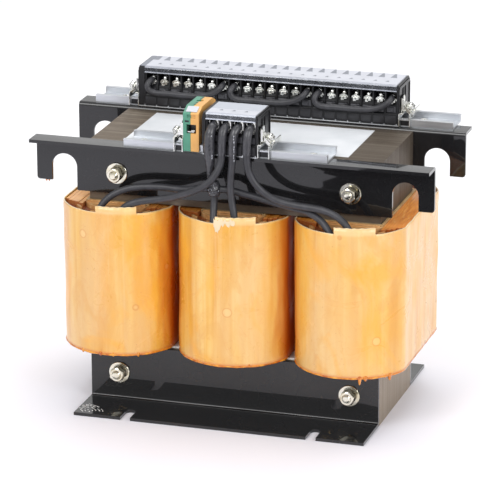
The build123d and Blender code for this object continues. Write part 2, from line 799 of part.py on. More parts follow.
# ---------------------------------------------------------------- leads from the terminals to the coils
lead_routes = {
    "left_a": [
        (-17.0, -85.0, 231.0),
        (-24.5, -85.0, 231.0),
        (-34.0, -83.2, 228.0),
        (-45.5, -81.4, 226.4),
        (-59.0, -80.0, 226.8),
        (-76.5, -80.0, 226.3),
        (-94.0, -81.5, 224.4),
        (-108.0, -84.8, 219.6),
        (-117.0, -89.4, 213.2),
        (-122.3, -93.2, 206.0),
        (-124.4, -95.2, 198.8),
    ],
    "left_b": [
        (-2.3, -88.5, 266.0),
        (-2.3, -88.5, 260.5),
        (-5.5, -92.0, 250.5),
        (-11.5, -95.0, 241.0),
        (-21.0, -96.0, 234.0),
        (-33.5, -94.5, 228.0),
        (-49.0, -91.8, 221.5),
        (-66.0, -90.0, 217.2),
        (-82.0, -90.4, 214.6),
        (-94.0, -92.0, 210.8),
        (-101.2, -93.8, 204.8),
        (-103.6, -95.0, 198.9),
    ],
    "middle_a": [
        (-11.0, -85.0, 226.0),
        (-11.0, -85.0, 220.0),
        (-10.6, -87.6, 212.6),
        (-9.7, -91.8, 205.8),
        (-9.1, -95.0, 199.2),
    ],
    "middle_b": [
        (8.2, -88.5, 266.0),
        (8.2, -88.5, 258.0),
        (6.7, -89.4, 246.0),
        (6.6, -89.6, 233.0),
        (8.4, -91.0, 220.0),
        (11.6, -93.6, 208.4),
        (12.9, -95.2, 198.4),
    ],
    "right_a": [
        (-5.0, -83.6, 231.0),
        (1.5, -83.6, 231.0),
        (8.0, -79.8, 228.8),
        (16.5, -77.8, 226.0),
        (26.0, -77.0, 224.3),
        (38.0, -77.0, 221.6),
        (51.0, -77.6, 219.4),
        (65.0, -79.0, 217.1),
        (79.0, -82.0, 215.9),
        (91.5, -87.0, 212.2),
        (100.6, -91.8, 206.6),
        (106.0, -95.2, 199.3),
    ],
    "right_b": [
        (22.2, -88.5, 268.0),
        (22.2, -88.5, 260.0),
        (25.2, -87.6, 247.5),
        (33.4, -87.0, 236.0),
        (45.5, -86.5, 227.4),
        (61.1, -86.5, 222.9),
        (77.9, -87.0, 221.8),
        (94.9, -88.5, 221.2),
        (109.5, -91.2, 217.8),
        (119.5, -93.8, 211.4),
        (124.7, -95.2, 203.6),
        (126.2, -95.4, 198.3),
    ],
}
for name, points in lead_routes.items():
    with BuildPart() as lead:
        with BuildLine():
            way = tube_line(points)
        with BuildSketch(Plane(origin=way @ 0, z_dir=way % 0)):
            Circle(lead_d / 2)
        sweep(path=way)
    lead.part.label = f"lead_{name}"
    report_tube(f"lead_{name}", lead.part, points, lead_d)
    export_step(lead.part, f"parts/lead_{name}.step")

# ---------------------------------------------------------------- jumpers on the rear terminals
jumper_shape = (
    (0.0, 64.4, 291.3),
    (-0.9, 60.2, 290.9),
    (-3.0, 57.2, 287.0),
    (-2.2, 56.9, 282.4),
    (2.4, 56.9, 279.4),
    (9.5, 57.0, 279.2),
    (18.0, 57.0, 279.5),
    (33.7, 57.1, 279.0),
    (49.0, 57.0, 279.4),
    (60.0, 57.1, 281.4),
    (67.0, 57.2, 284.6),
    (71.8, 57.5, 288.6),
    (73.3, 60.6, 291.0),
    (73.2, 64.4, 291.3),
)
r = pole_centre["rear"]
jumper_routes = {
    "left": [(r[0] + x, y, z) for x, y, z in jumper_shape],
    "middle": [(r[7] + x, y, z) for x, y, z in jumper_shape],
    "right": [(r[14] + x, y, z) for x, y, z in jumper_shape],
}
for name, points in jumper_routes.items():
    with BuildPart() as jumper:
        with BuildLine():
            way = tube_line(points)
        with BuildSketch(Plane(origin=way @ 0, z_dir=way % 0)):
            Circle(jumper_d / 2)
        sweep(path=way)
    jumper.part.label = f"jumper_{name}"
    report_tube(f"jumper_{name}", jumper.part, points, jumper_d)
    export_step(jumper.part, f"parts/jumper_{name}.step")
print("pole centres front", [round(v, 2) for v in f], "rear first", round(r[0], 2))

# ---------------------------------------------------------------- blank name plate on the top yoke
with BuildPart() as name_plate:
    with BuildSketch(Plane.XY.offset(core_h)):
        with Locations((-1.9, 2.3)):
            Rectangle(222.0, 95.4)
    extrude(amount=0.3)
name_plate.part.label = "name_plate"
export_step(name_plate.part, "parts/name_plate.step")
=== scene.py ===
"""Looks of the three-phase dry type transformer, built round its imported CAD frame."""

import json
import math
import random

import bmesh
import bpy
from mathutils import Matrix, Vector, noise


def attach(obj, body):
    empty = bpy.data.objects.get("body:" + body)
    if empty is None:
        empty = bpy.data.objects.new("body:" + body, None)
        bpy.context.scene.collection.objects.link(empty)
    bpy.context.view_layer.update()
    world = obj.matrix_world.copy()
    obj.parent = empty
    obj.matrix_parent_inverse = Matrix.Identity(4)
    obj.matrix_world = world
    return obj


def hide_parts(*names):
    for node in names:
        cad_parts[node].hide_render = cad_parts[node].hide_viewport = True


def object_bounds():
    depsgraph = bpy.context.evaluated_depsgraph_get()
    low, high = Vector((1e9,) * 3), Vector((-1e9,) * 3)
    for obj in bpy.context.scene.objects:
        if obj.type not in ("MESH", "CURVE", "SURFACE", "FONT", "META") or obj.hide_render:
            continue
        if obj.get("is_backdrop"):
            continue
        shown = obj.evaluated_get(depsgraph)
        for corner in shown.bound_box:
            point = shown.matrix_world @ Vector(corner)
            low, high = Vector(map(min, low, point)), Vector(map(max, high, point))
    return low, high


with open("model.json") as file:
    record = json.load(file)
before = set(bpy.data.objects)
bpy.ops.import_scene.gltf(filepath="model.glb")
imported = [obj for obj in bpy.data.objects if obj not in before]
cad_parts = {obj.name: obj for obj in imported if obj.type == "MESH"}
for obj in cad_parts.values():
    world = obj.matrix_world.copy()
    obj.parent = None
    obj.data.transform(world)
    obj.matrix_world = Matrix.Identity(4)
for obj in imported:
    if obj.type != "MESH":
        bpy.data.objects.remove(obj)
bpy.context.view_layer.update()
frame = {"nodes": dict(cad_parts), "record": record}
scene = bpy.context.scene
scene.view_settings.view_transform = "Standard"
MM = 0.001
nodes = frame["nodes"]

# ---------------------------------------------------------------- camera
cam_data = bpy.data.cameras.new("camera")
cam_data.sensor_width = 36.0
cam_data.lens = 255.97
cam_data.clip_start = 0.05
cam_data.clip_end = 60.0
camera = bpy.data.objects.new("camera", cam_data)
scene.collection.objects.link(camera)
camera.matrix_world = Matrix(
    (
        (0.9557759, -0.0883588, 0.2805086, 0.9663099),
        (0.2940891, 0.2936084, -0.9095635, -3.1395437),
        (-0.0019918, 0.9518334, 0.3066092, 1.2035924),
        (0, 0, 0, 1),
    )
)
scene.camera = camera


# ---------------------------------------------------------------- material helpers
class Mat:
    """A Principled material with short calls for its nodes."""

    def __init__(self, name, **sockets):
        self.m = bpy.data.materials.new(name)
        self.m.use_nodes = True
        self.t = self.m.node_tree
        self.b = self.t.nodes["Principled BSDF"]
        self.tc = self.t.nodes.new("ShaderNodeTexCoord")
        for key, value in sockets.items():
            self.set(key.replace("_", " "), value)

    def set(self, key, value):
        socket = self.b.inputs[key]
        if isinstance(value, bpy.types.NodeSocket):
            self.t.links.new(value, socket)
        elif isinstance(value, (tuple, list)) and len(value) == 3:
            socket.default_value = (*value, 1.0) if socket.type == "RGBA" else value
        else:
            socket.default_value = value

    def put(self, node, key, value):
        if isinstance(value, bpy.types.NodeSocket):
            self.t.links.new(value, node.inputs[key])
        else:
            node.inputs[key].default_value = value

    def at(self, scale=(1, 1, 1), turn=(0, 0, 0), move=(0, 0, 0)):
        n = self.t.nodes.new("ShaderNodeMapping")
        self.t.links.new(self.tc.outputs["Object"], n.inputs["Vector"])
        n.inputs["Scale"].default_value = scale
        n.inputs["Rotation"].default_value = turn
        n.inputs["Location"].default_value = move
        return n.outputs["Vector"]

    def noise(self, vec, scale, detail=3.0, rough=0.5, warp=0.0):
        n = self.t.nodes.new("ShaderNodeTexNoise")
        self.t.links.new(vec, n.inputs["Vector"])
        n.inputs["Scale"].default_value = scale
        n.inputs["Detail"].default_value = detail
        n.inputs["Roughness"].default_value = rough
        n.inputs["Distortion"].default_value = warp
        return n.outputs["Fac"]

    def cells(self, vec, scale, feature="F1", rand=1.0, out="Distance"):
        n = self.t.nodes.new("ShaderNodeTexVoronoi")
        n.feature = feature
        self.t.links.new(vec, n.inputs["Vector"])
        n.inputs["Scale"].default_value = scale
        n.inputs["Randomness"].default_value = rand
        return n.outputs[out]

    def wave(self, vec, scale, axis="X", warp=0.0, detail=2.0, dscale=1.0):
        n = self.t.nodes.new("ShaderNodeTexWave")
        n.bands_direction = axis
        self.t.links.new(vec, n.inputs["Vector"])
        n.inputs["Scale"].default_value = scale
        n.inputs["Distortion"].default_value = warp
        n.inputs["Detail"].default_value = detail
        n.inputs["Detail Scale"].default_value = dscale
        return n.outputs["Fac"]

    def ramp(self, fac, *stops):
        n = self.t.nodes.new("ShaderNodeValToRGB")
        self.t.links.new(fac, n.inputs["Fac"])
        el = n.color_ramp.elements
        while len(el) > 1:
            el.remove(el[-1])
        for i, (pos, col) in enumerate(stops):
            e = el[0] if i == 0 else el.new(pos)
            e.position = pos
            if not isinstance(col, (tuple, list)):
                col = (col, col, col)
            e.color = (*col, 1.0)
        return n.outputs["Color"]

    def mix(self, fac, a, b, mode="MIX"):
        n = self.t.nodes.new("ShaderNodeMix")
        n.data_type = "RGBA"
        n.blend_type = mode
        for key, value in (("Factor", fac), ("A", a), ("B", b)):
            idx = [
                i
                for i, s in enumerate(n.inputs)
                if s.name == key and s.enabled and (key == "Factor" or s.type == "RGBA")
            ][0]
            if isinstance(value, bpy.types.NodeSocket):
                self.t.links.new(value, n.inputs[idx])
            elif isinstance(value, (tuple, list)):
                n.inputs[idx].default_value = (*value, 1.0)
            else:
                n.inputs[idx].default_value = value
        return [s for s in n.outputs if s.type == "RGBA" and s.enabled][0]

    def math(self, op, a, b=0.0, clamp=False):
        n = self.t.nodes.new("ShaderNodeMath")
        n.operation = op
        n.use_clamp = clamp
        self.put(n, 0, a)
        self.put(n, 1, b)
        return n.outputs[0]

    def axis(self, which):
        n = self.t.nodes.new("ShaderNodeSeparateXYZ")
        self.t.links.new(self.tc.outputs["Object"], n.inputs[0])
        return n.outputs["XYZ".index(which)]

    def band(self, which, start, end):
        """0 before start and 1 after end, both in millimetres along an axis of the row frame."""
        n = self.t.nodes.new("ShaderNodeMapRange")
        self.t.links.new(self.axis(which), n.inputs["Value"])
        n.inputs["From Min"].default_value = start * MM
        n.inputs["From Max"].default_value = end * MM
        return n.outputs[0]

    def facing(self, which):
        n = self.t.nodes.new("ShaderNodeSeparateXYZ")
        self.t.links.new(self.tc.outputs["Normal"], n.inputs[0])
        return n.outputs["XYZ".index(which)]

    def bump(self, height, strength=0.3, distance=0.0005, normal=None):
        n = self.t.nodes.new("ShaderNodeBump")
        n.inputs["Strength"].default_value = strength
        n.inputs["Distance"].default_value = distance
        self.t.links.new(height, n.inputs["Height"])
        if normal is not None:
            self.t.links.new(normal, n.inputs["Normal"])
        self.t.links.new(n.outputs["Normal"], self.b.inputs["Normal"])
        return n.outputs["Normal"]


def srgb(r, g, b):
    def lin(c):
        c /= 255.0
        return c / 12.92 if c <= 0.04045 else ((c + 0.055) / 1.055) ** 2.4

    return (lin(r), lin(g), lin(b))


# ---------------------------------------------------------------- materials
def make_black_paint():
    m = Mat("black_paint", Base_Color=(0.011, 0.011, 0.012), Roughness=0.22)
    m.set("IOR", 1.5)
    m.set("Specular IOR Level", 0.12)
    m.set("Coat Weight", 1.0)
    m.set("Coat Roughness", 0.02)
    v = m.at()
    peel = m.noise(v, 260, 3, 0.55)
    broad = m.noise(v, 22, 2, 0.5)
    dust = m.noise(v, 900, 2, 0.6)
    rough = m.ramp(broad, (0.3, 0.16), (0.75, 0.34))
    m.set("Roughness", rough)
    m.set("Base Color", m.mix(m.ramp(dust, (0.62, 0.0), (0.78, 1.0)), (0.010, 0.010, 0.011), (0.035, 0.034, 0.033)))
    m.bump(peel, 0.10, 0.0004)
    return m.m


def make_lamination(name="lamination_steel", shade=0.0):
    m = Mat(name, Metallic=0.45, Roughness=0.5)
    strip = m.noise(m.at((2.2, 260, 2.2)), 1.0, 4, 0.62)
    wide = m.noise(m.at((1.5, 70, 1.5)), 1.0, 3, 0.5)
    stain = m.noise(m.at(), 34, 5, 0.6, 0.4)
    brush = m.noise(m.at((9, 600, 9)), 1.0, 2, 0.5)
    base = m.ramp(strip, (0.25, srgb(84, 74, 62)), (0.5, srgb(116, 104, 90)), (0.78, srgb(150, 140, 126)))
    base = m.mix(m.ramp(wide, (0.35, 0.0), (0.7, 0.55)), base, srgb(96, 82, 66))
    base = m.mix(m.ramp(stain, (0.52, 0.0), (0.75, 0.5)), base, srgb(70, 60, 48))
    # painted light: the lower part of the core's +X end is painted paler, a painted reflection of light from the coils
    low = m.math("MULTIPLY", m.band("Z", 66, 44), m.band("X", 138, 144))
    base = m.mix(m.math("MULTIPLY", low, 0.35), base, srgb(206, 190, 170))
    # painted shade: the lamination is painted darker towards +X
    if shade:
        base = m.mix(m.math("MULTIPLY", m.band("X", -120, 60), shade), base, srgb(52, 46, 40))
    m.set("Base Color", base)
    m.set("Roughness", m.ramp(brush, (0.2, 0.38), (0.8, 0.62)))
    sheets = m.wave(m.at((1, 1, 1)), 310, "Y", 0.4, 1.0)
    both = m.math("ADD", m.math("MULTIPLY", sheets, 0.6), m.math("MULTIPLY", brush, 0.7))
    m.bump(both, 0.35, 0.0003)
    return m.m


def make_zinc(name, tint, dark, rough=0.22, painted_dark_flats=None):
    m = Mat(name, Metallic=1.0)
    v = m.at()
    blotch = m.noise(v, 90, 3, 0.5, 0.3)
    fine = m.noise(v, 900, 3, 0.6)
    base = m.ramp(blotch, (0.3, dark), (0.6, tint))
    if painted_dark_flats:
        # painted reflection and shade: the flats of a nut are painted dark, standing in for the dark surroundings they
        # mirror; the turned faces are bright
        base = m.mix(m.ramp(m.math("ABSOLUTE", m.facing("Y")), (0.25, 0.85), (0.5, 0.0)), base, painted_dark_flats)
    m.set("Base Color", base)
    m.set("Roughness", m.ramp(blotch, (0.3, rough * 0.75), (0.8, rough * 1.4)))
    m.bump(fine, 0.04, 0.0001)
    return m.m


def make_board(name, light, dark, scale=60):
    m = Mat(name, Roughness=0.5)
    v = m.at()
    fibre = m.noise(m.at((1, 1, 0.15)), scale * 8, 4, 0.65)
    blot = m.noise(v, scale, 4, 0.55, 0.8)
    m.set("Base Color", m.mix(m.ramp(fibre, (0.35, 0.0), (0.7, 0.6)), m.ramp(blot, (0.3, dark), (0.7, light)), dark))
    m.set("Roughness", m.ramp(blot, (0.3, 0.3), (0.7, 0.62)))
    m.set("Coat Weight", 0.25)
    m.set("Coat Roughness", 0.25)
    m.bump(fibre, 0.3, 0.0002)
    return m.m


def make_wrap():
    m = Mat("varnished_wrap")
    v = m.at()
    streak = m.noise(m.at((55, 55, 2.6)), 1.0, 4, 0.55, 0.3)
    thin = m.noise(m.at((240, 240, 5)), 1.0, 3, 0.5)
    cloud = m.noise(v, 21, 4, 0.55, 1.1)
    pool = m.noise(m.at((1, 1, 0.7)), 48, 3, 0.5, 1.6)
    speck = m.cells(v, 130, "F1", 1.0)
    base = m.ramp(
        streak,
        (0.30, srgb(214, 148, 50)),
        (0.50, srgb(231, 178, 82)),
        (0.72, srgb(240, 204, 130)),
    )
    base = m.mix(m.ramp(cloud, (0.42, 0.0), (0.66, 0.7)), base, srgb(230, 164, 54))
    base = m.mix(m.ramp(thin, (0.55, 0.0), (0.78, 0.4)), base, srgb(246, 216, 158))
    pale = m.ramp(m.noise(m.at((1.0, 1.0, 0.55)), 12, 4, 0.5, 0.9), (0.47, 0.0), (0.66, 0.62))
    base = m.mix(pale, base, srgb(226, 188, 132))
    rich = m.ramp(m.noise(m.at((1.0, 1.0, 0.6), move=(0.4, 0.2, 0.1)), 17, 4, 0.55, 1.4), (0.5, 0.0), (0.66, 0.85))
    base = m.mix(rich, base, srgb(238, 170, 50))
    run = m.noise(m.at((1.0, 1.0, 0.5), move=(0.2, 0.7, 0.3)), 34, 4, 0.6, 1.2)
    base = m.mix(m.ramp(run, (0.52, 0.0), (0.62, 0.34)), base, srgb(218, 154, 62))
    # painted shade: the wrap is painted a deeper orange where it turns towards its flanks
    turn = m.ramp(m.math("ABSOLUTE", m.facing("X")), (0.55, 0.0), (0.92, 0.45))
    turn = m.math("MULTIPLY", turn, m.band("X", -150, -136))
    base = m.mix(m.math("MULTIPLY", turn, m.band("X", 160, 150)), base, srgb(230, 170, 60))
    bubble = m.cells(v, 21, "F1", 1.0)
    base = m.mix(m.ramp(bubble, (0.085, 0.0), (0.1, 0.5), (0.112, 0.0)), base, srgb(206, 120, 36))
    base = m.mix(m.ramp(bubble, (0.0, 0.35), (0.08, 0.25), (0.095, 0.0)), base, srgb(252, 220, 160))
    # painted shade: the flanks that face each other across the gaps between coils are painted deep orange, and their
    # coat is lowered
    painted_gap_shade = m.ramp(m.math("ABSOLUTE", m.facing("X")), (0.80, 0.0), (0.99, 0.9))
    outer = m.math("MAXIMUM", m.band("X", 146, 156), m.band("X", -146, -156))
    painted_gap_shade = m.math("MULTIPLY", painted_gap_shade, m.math("SUBTRACT", 1.0, outer))
    base = m.mix(painted_gap_shade, base, srgb(206, 96, 8))
    # rings where runs of varnish dried
    ring = m.ramp(pool, (0.49, 0.0), (0.505, 0.2), (0.52, 0.0))
    base = m.mix(ring, base, srgb(214, 130, 44))
    base = m.mix(m.ramp(speck, (0.035, 0.55), (0.07, 0.0)), base, srgb(176, 96, 34))
    # darker varnish that ran to the lower edge
    foot = m.band("Z", 64, 60.8)
    base = m.mix(m.math("MULTIPLY", foot, 0.75), base, srgb(196, 92, 28))
    # the cut edge of the paper at the rim, and the paler tongue
    rim = m.ramp(m.band("Z", 199.5, 203.0), (0.3, 0.0), (1.0, 0.5))
    base = m.mix(rim, base, srgb(240, 206, 152))
    cut = m.math("MULTIPLY", m.ramp(m.facing("Z"), (0.6, 0.0), (0.9, 0.8)), m.band("Z", 195, 196))
    base = m.mix(cut, base, srgb(252, 238, 204))
    m.set("Base Color", base)
    m.set("Roughness", m.ramp(cloud, (0.35, 0.42), (0.7, 0.22)))
    m.set("IOR", 1.5)
    m.set("Coat Weight", m.math("MULTIPLY", m.math("SUBTRACT", 1.0, painted_gap_shade), 0.7))
    m.set("Coat Roughness", 0.28)
    both = m.math("ADD", m.math("MULTIPLY", pool, 0.6), m.math("MULTIPLY", streak, 0.5))
    m.bump(both, 0.35, 0.0012)
    return m.m


def make_amber():
    m = Mat("amber_varnish", Roughness=0.18)
    v = m.at()
    cloud = m.noise(v, 220, 3, 0.5)
    m.set("Base Color", m.ramp(cloud, (0.3, srgb(176, 82, 14)), (0.55, srgb(218, 134, 30)), (0.8, srgb(240, 180, 60))))
    m.set("IOR", 1.5)
    m.set("Coat Weight", 1.0)
    m.set("Coat Roughness", 0.05)
    m.bump(cloud, 0.2, 0.0006)
    return m.m


def make_flank_board():
    m = Mat("flank_board")
    v = m.at()
    grain = m.noise(m.at((7, 0.9, 7)), 60, 5, 0.62, 0.6)
    ring = m.wave(m.at((1.0, 0.1, 1.0)), 120, "X", 3.0, 3.0, 1.4)
    fleck = m.noise(m.at((1, 0.35, 1)), 620, 3, 0.6)
    base = m.ramp(grain, (0.28, srgb(206, 112, 30)), (0.5, srgb(232, 146, 54)), (0.74, srgb(246, 182, 96)))
    base = m.mix(m.math("MULTIPLY", ring, 0.22), base, srgb(190, 92, 24))
    pale = m.math("MULTIPLY", m.band("X", -60, -150), 0.55)
    base = m.mix(pale, base, srgb(244, 196, 132))
    base = m.mix(m.ramp(fleck, (0.66, 0.0), (0.76, 0.7)), base, srgb(250, 220, 168))
    # painted shade: the side faces of the boards, below their tops, are painted dark brown
    side = m.ramp(m.facing("Z"), (0.3, 1.0), (0.8, 0.0))
    base = m.mix(m.math("MULTIPLY", side, 0.7), base, srgb(140, 58, 24))
    m.set("Base Color", base)
    m.set("Roughness", m.ramp(grain, (0.3, 0.3), (0.7, 0.5)))
    m.set("Coat Weight", 0.5)
    m.set("Coat Roughness", 0.18)
    m.bump(m.math("ADD", grain, m.math("MULTIPLY", fleck, 0.4)), 0.4, 0.0006)
    return m.m


def make_winding():
    m = Mat("varnished_winding")
    v = m.at()
    turns = m.noise(m.at((30, 30, 420)), 1.0, 3, 0.5)
    blot = m.noise(v, 70, 4, 0.6, 0.8)
    base = m.ramp(blot, (0.3, srgb(92, 34, 20)), (0.55, srgb(150, 74, 36)), (0.8, srgb(196, 120, 62)))
    base = m.mix(m.ramp(turns, (0.4, 0.0), (0.7, 0.5)), base, srgb(70, 24, 16))
    m.set("Base Color", base)
    m.set("Roughness", m.ramp(blot, (0.3, 0.2), (0.8, 0.5)))
    m.set("Coat Weight", 0.5)
    m.set("Coat Roughness", 0.12)
    m.bump(turns, 0.4, 0.0005)
    return m.m


def make_aluminium():
    m = Mat("rail_aluminium", Metallic=0.85)
    line = m.noise(m.at((1.2, 900, 900)), 1.0, 3, 0.5)
    smear = m.noise(m.at((12, 60, 60)), 1.0, 4, 0.55)
    m.set("Base Color", m.ramp(smear, (0.3, srgb(186, 189, 194)), (0.7, srgb(222, 225, 229))))
    m.set("Roughness", m.ramp(line, (0.3, 0.28), (0.75, 0.42)))
    m.bump(line, 0.12, 0.0001)
    return m.m


def make_black_plastic():
    m = Mat("black_moulding")
    v = m.at()
    grain = m.noise(v, 1400, 3, 0.6)
    dust = m.noise(v, 90, 4, 0.6)
    m.set("Base Color", m.mix(m.ramp(dust, (0.45, 0.0), (0.8, 0.6)), srgb(20, 20, 23), srgb(38, 38, 43)))
    m.set("Roughness", m.ramp(grain, (0.3, 0.26), (0.7, 0.38)))
    m.set("IOR", 1.48)
    m.bump(grain, 0.2, 0.00012)
    return m.m


def make_plastic(name, colour, rough=0.38, shade=0.82):
    m = Mat(name)
    v = m.at()
    grain = m.noise(v, 1500, 3, 0.6)
    cloud = m.noise(v, 60, 3, 0.5)
    dark = tuple(c * shade for c in colour)
    m.set("Base Color", m.ramp(cloud, (0.3, dark), (0.65, colour)))
    m.set("Roughness", m.ramp(grain, (0.3, rough * 0.85), (0.7, rough * 1.2)))
    m.bump(grain, 0.18, 0.0001)
    return m.m


def make_cover():
    m = Mat("clear_cover")
    v = m.at()
    film = m.noise(v, 120, 3, 0.5)
    base = m.ramp(film, (0.3, srgb(160, 164, 174)), (0.7, srgb(186, 190, 200)))
    # painted light: the front cover, at Y below -30 mm, is painted paler than the rear one
    m.set("Base Color", m.mix(m.band("Y", -20, -30), base, srgb(204, 209, 220)))
    m.set("Roughness", m.ramp(film, (0.3, 0.06), (0.7, 0.16)))
    # thicker and milkier along the top and the lip than in the skirt
    thick = m.math("MAXIMUM", m.band("Z", 302.9, 303.6), m.band("Z", 299.4, 298.9))
    m.set("Alpha", m.math("ADD", 0.08, m.math("MULTIPLY", thick, 0.68)))
    m.set("IOR", 1.5)
    m.set("Coat Weight", 0.3)
    m.set("Coat Roughness", 0.03)
    m.bump(film, 0.04, 0.0003)
    return m.m


def make_lead():
    m = Mat("lead_insulation")
    v = m.at()
    grain = m.noise(v, 1100, 3, 0.6)
    rub = m.noise(v, 110, 4, 0.6)
    m.set("Base Color", m.mix(m.ramp(rub, (0.45, 0.0), (0.8, 0.6)), srgb(50, 50, 54), srgb(74, 74, 80)))
    m.set("Roughness", m.ramp(grain, (0.3, 0.36), (0.7, 0.5)))
    m.set("IOR", 1.5)
    m.bump(grain, 0.2, 0.0002)
    return m.m


def make_sleeve():
    m = Mat("shrink_sleeve")
    v = m.at()
    wrinkle = m.noise(m.at((1, 1, 0.45)), 420, 4, 0.65, 0.5)
    m.set("Base Color", m.ramp(wrinkle, (0.3, srgb(44, 44, 48)), (0.7, srgb(66, 66, 71))))
    m.set("Roughness", m.ramp(wrinkle, (0.3, 0.24), (0.7, 0.4)))
    m.set("IOR", 1.52)
    m.set("Coat Weight", 0.4)
    m.set("Coat Roughness", 0.12)
    m.bump(wrinkle, 0.5, 0.0005)
    return m.m


def make_plate():
    m = Mat("plate_blank")
    v = m.at()
    film = m.noise(v, 26, 3, 0.5)
    grain = m.noise(v, 1200, 2, 0.6)
    m.set("Base Color", m.ramp(film, (0.3, srgb(208, 212, 216)), (0.7, srgb(226, 228, 232))))
    m.set("Roughness", m.ramp(grain, (0.3, 0.34), (0.7, 0.46)))
    m.set("Coat Weight", 0.3)
    m.set("Coat Roughness", 0.2)
    m.bump(film, 0.1, 0.0006)
    return m.m


looks = {
    "lamination_steel": make_lamination(),
    "black_paint": make_black_paint(),
    "yellow_zinc": make_zinc("yellow_zinc", srgb(240, 238, 226), srgb(222, 214, 188), 0.16),
    "press_board": make_board("press_board", srgb(206, 176, 124), srgb(150, 112, 64)),
    "varnished_winding": make_winding(),
    "varnished_wrap": make_wrap(),
    "spacer_board": make_board("spacer_board", srgb(232, 190, 132), srgb(190, 128, 66), 90),
    "rail_aluminium": make_aluminium(),
    "bright_zinc": make_zinc("bright_zinc", srgb(246, 246, 242), srgb(206, 206, 200), 0.2),
    "black_moulding": make_black_plastic(),
    "contact_brass": make_zinc("contact_brass", srgb(168, 167, 160), srgb(104, 101, 92), 0.25),
    "clear_cover": make_cover(),
    "white_marker": make_plastic("white_marker", srgb(196, 198, 206), 0.4, 0.92),
    "green_moulding": make_plastic("green_moulding", srgb(80, 144, 120), 0.36, 0.86),
    "yellow_moulding": make_plastic("yellow_moulding", srgb(222, 168, 96), 0.36, 0.9),
    "lead_insulation": make_lead(),
    "shrink_sleeve": make_sleeve(),
    "plate_blank": make_plate(),
    "flank_board": make_flank_board(),
    # the last colour is the painted dark reflection on the nut flats
    "nut_zinc": make_zinc("nut_zinc", srgb(238, 234, 220), srgb(216, 206, 178), 0.15, srgb(66, 60, 48)),
    "dark_steel": make_zinc("dark_steel", srgb(92, 86, 74), srgb(60, 54, 44), 0.3),
    "amber_varnish": make_amber(),
    # painted highlight: a lighter grey than the black moulding
    "moulding_painted_highlight": make_plastic("moulding_painted_highlight", srgb(64, 64, 69), 0.34, 0.8),
    # painted light: a lighter grey than the black moulding
    "toe_moulding_painted_light": make_plastic("toe_moulding_painted_light", srgb(40, 40, 44), 0.32, 0.8),
    "film_grey": make_plastic("film_grey", srgb(126, 130, 140), 0.3, 0.92),
    "scuff": make_plastic("scuff", srgb(244, 243, 240), 0.5, 0.9),
    "strip_white": make_board("strip_white", srgb(226, 224, 218), srgb(186, 182, 172)),
    "rust_fleck": make_plastic("rust_fleck", srgb(116, 96, 60), 0.6, 0.6),
    "paper_scrap": make_plastic("paper_scrap", srgb(232, 212, 176), 0.6, 0.86),
}
slot_of = {s["node"]: s["material_slot"] for s in frame["record"]["subparts"]}
for name, obj in nodes.items():
    obj.data.materials.clear()
    obj.data.materials.append(looks[slot_of[name]])
# the top yoke carries painted shade, darker towards +X
nodes["core_top_yoke"].data.materials[0] = make_lamination("lamination_steel_yoke", 0.45)


# ---------------------------------------------------------------- piece helpers
def piece(name, mesh, slot_name, replaces=(), smooth=False):
    obj = bpy.data.objects.new(name, mesh)
    scene.collection.objects.link(obj)
    if slot_name and not mesh.materials:
        mesh.materials.append(looks[slot_name])
    if smooth:
        for p in mesh.polygons:
            p.use_smooth = True
    if replaces:
        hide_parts(*replaces)
    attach(obj, "root")
    return obj


def mesh_of(name, verts, faces):
    me = bpy.data.meshes.new(name)
    me.from_pydata([tuple(v) for v in verts], [], faces)
    me.validate()
    me.update()
    return me


# ---------------------------------------------------------------- cords
lead_d, jumper_d = 6.8, 6.0
lead_routes = {
    "left_a": [
        (-17.0, -85.0, 231.0), (-24.5, -85.0, 231.0), (-34.0, -83.2, 228.0), (-45.5, -81.4, 226.4),
        (-59.0, -80.0, 226.8), (-76.5, -80.0, 226.3), (-94.0, -81.5, 224.4), (-108.0, -84.8, 219.6),
        (-117.0, -89.4, 213.2), (-122.3, -93.2, 206.0), (-124.4, -95.2, 198.8),
    ],
    "left_b": [
        (-2.3, -88.5, 266.0), (-2.3, -88.5, 260.5), (-5.5, -92.0, 250.5), (-11.5, -95.0, 241.0),
        (-21.0, -96.0, 234.0), (-33.5, -94.5, 228.0), (-49.0, -91.8, 221.5), (-66.0, -90.0, 217.2),
        (-82.0, -90.4, 214.6), (-94.0, -92.0, 210.8), (-101.2, -93.8, 204.8), (-103.6, -95.0, 198.9),
    ],
    "middle_a": [
        (-11.0, -85.0, 226.0), (-11.0, -85.0, 220.0), (-10.6, -87.6, 212.6), (-9.7, -91.8, 205.8),
        (-9.1, -95.0, 199.2),
    ],
    "middle_b": [
        (8.2, -88.5, 266.0), (8.2, -88.5, 258.0), (6.7, -89.4, 246.0), (6.6, -89.6, 233.0),
        (8.4, -91.0, 220.0), (11.6, -93.6, 208.4), (12.9, -95.2, 198.4),
    ],
    "right_a": [
        (-5.0, -83.6, 231.0), (1.5, -83.6, 231.0), (8.0, -79.8, 228.8), (16.5, -77.8, 226.0),
        (26.0, -77.0, 224.3), (38.0, -77.0, 221.6), (51.0, -77.6, 219.4), (65.0, -79.0, 217.1),
        (79.0, -82.0, 215.9), (91.5, -87.0, 212.2), (100.6, -91.8, 206.6), (106.0, -95.2, 199.3),
    ],
    "right_b": [
        (22.2, -88.5, 268.0), (22.2, -88.5, 260.0), (25.2, -87.6, 247.5), (33.4, -87.0, 236.0),
        (45.5, -86.5, 227.4), (61.1, -86.5, 222.9), (77.9, -87.0, 221.8), (94.9, -88.5, 221.2),
        (109.5, -91.2, 217.8), (119.5, -93.8, 211.4), (124.7, -95.2, 203.6), (126.2, -95.4, 198.3),
    ],
}
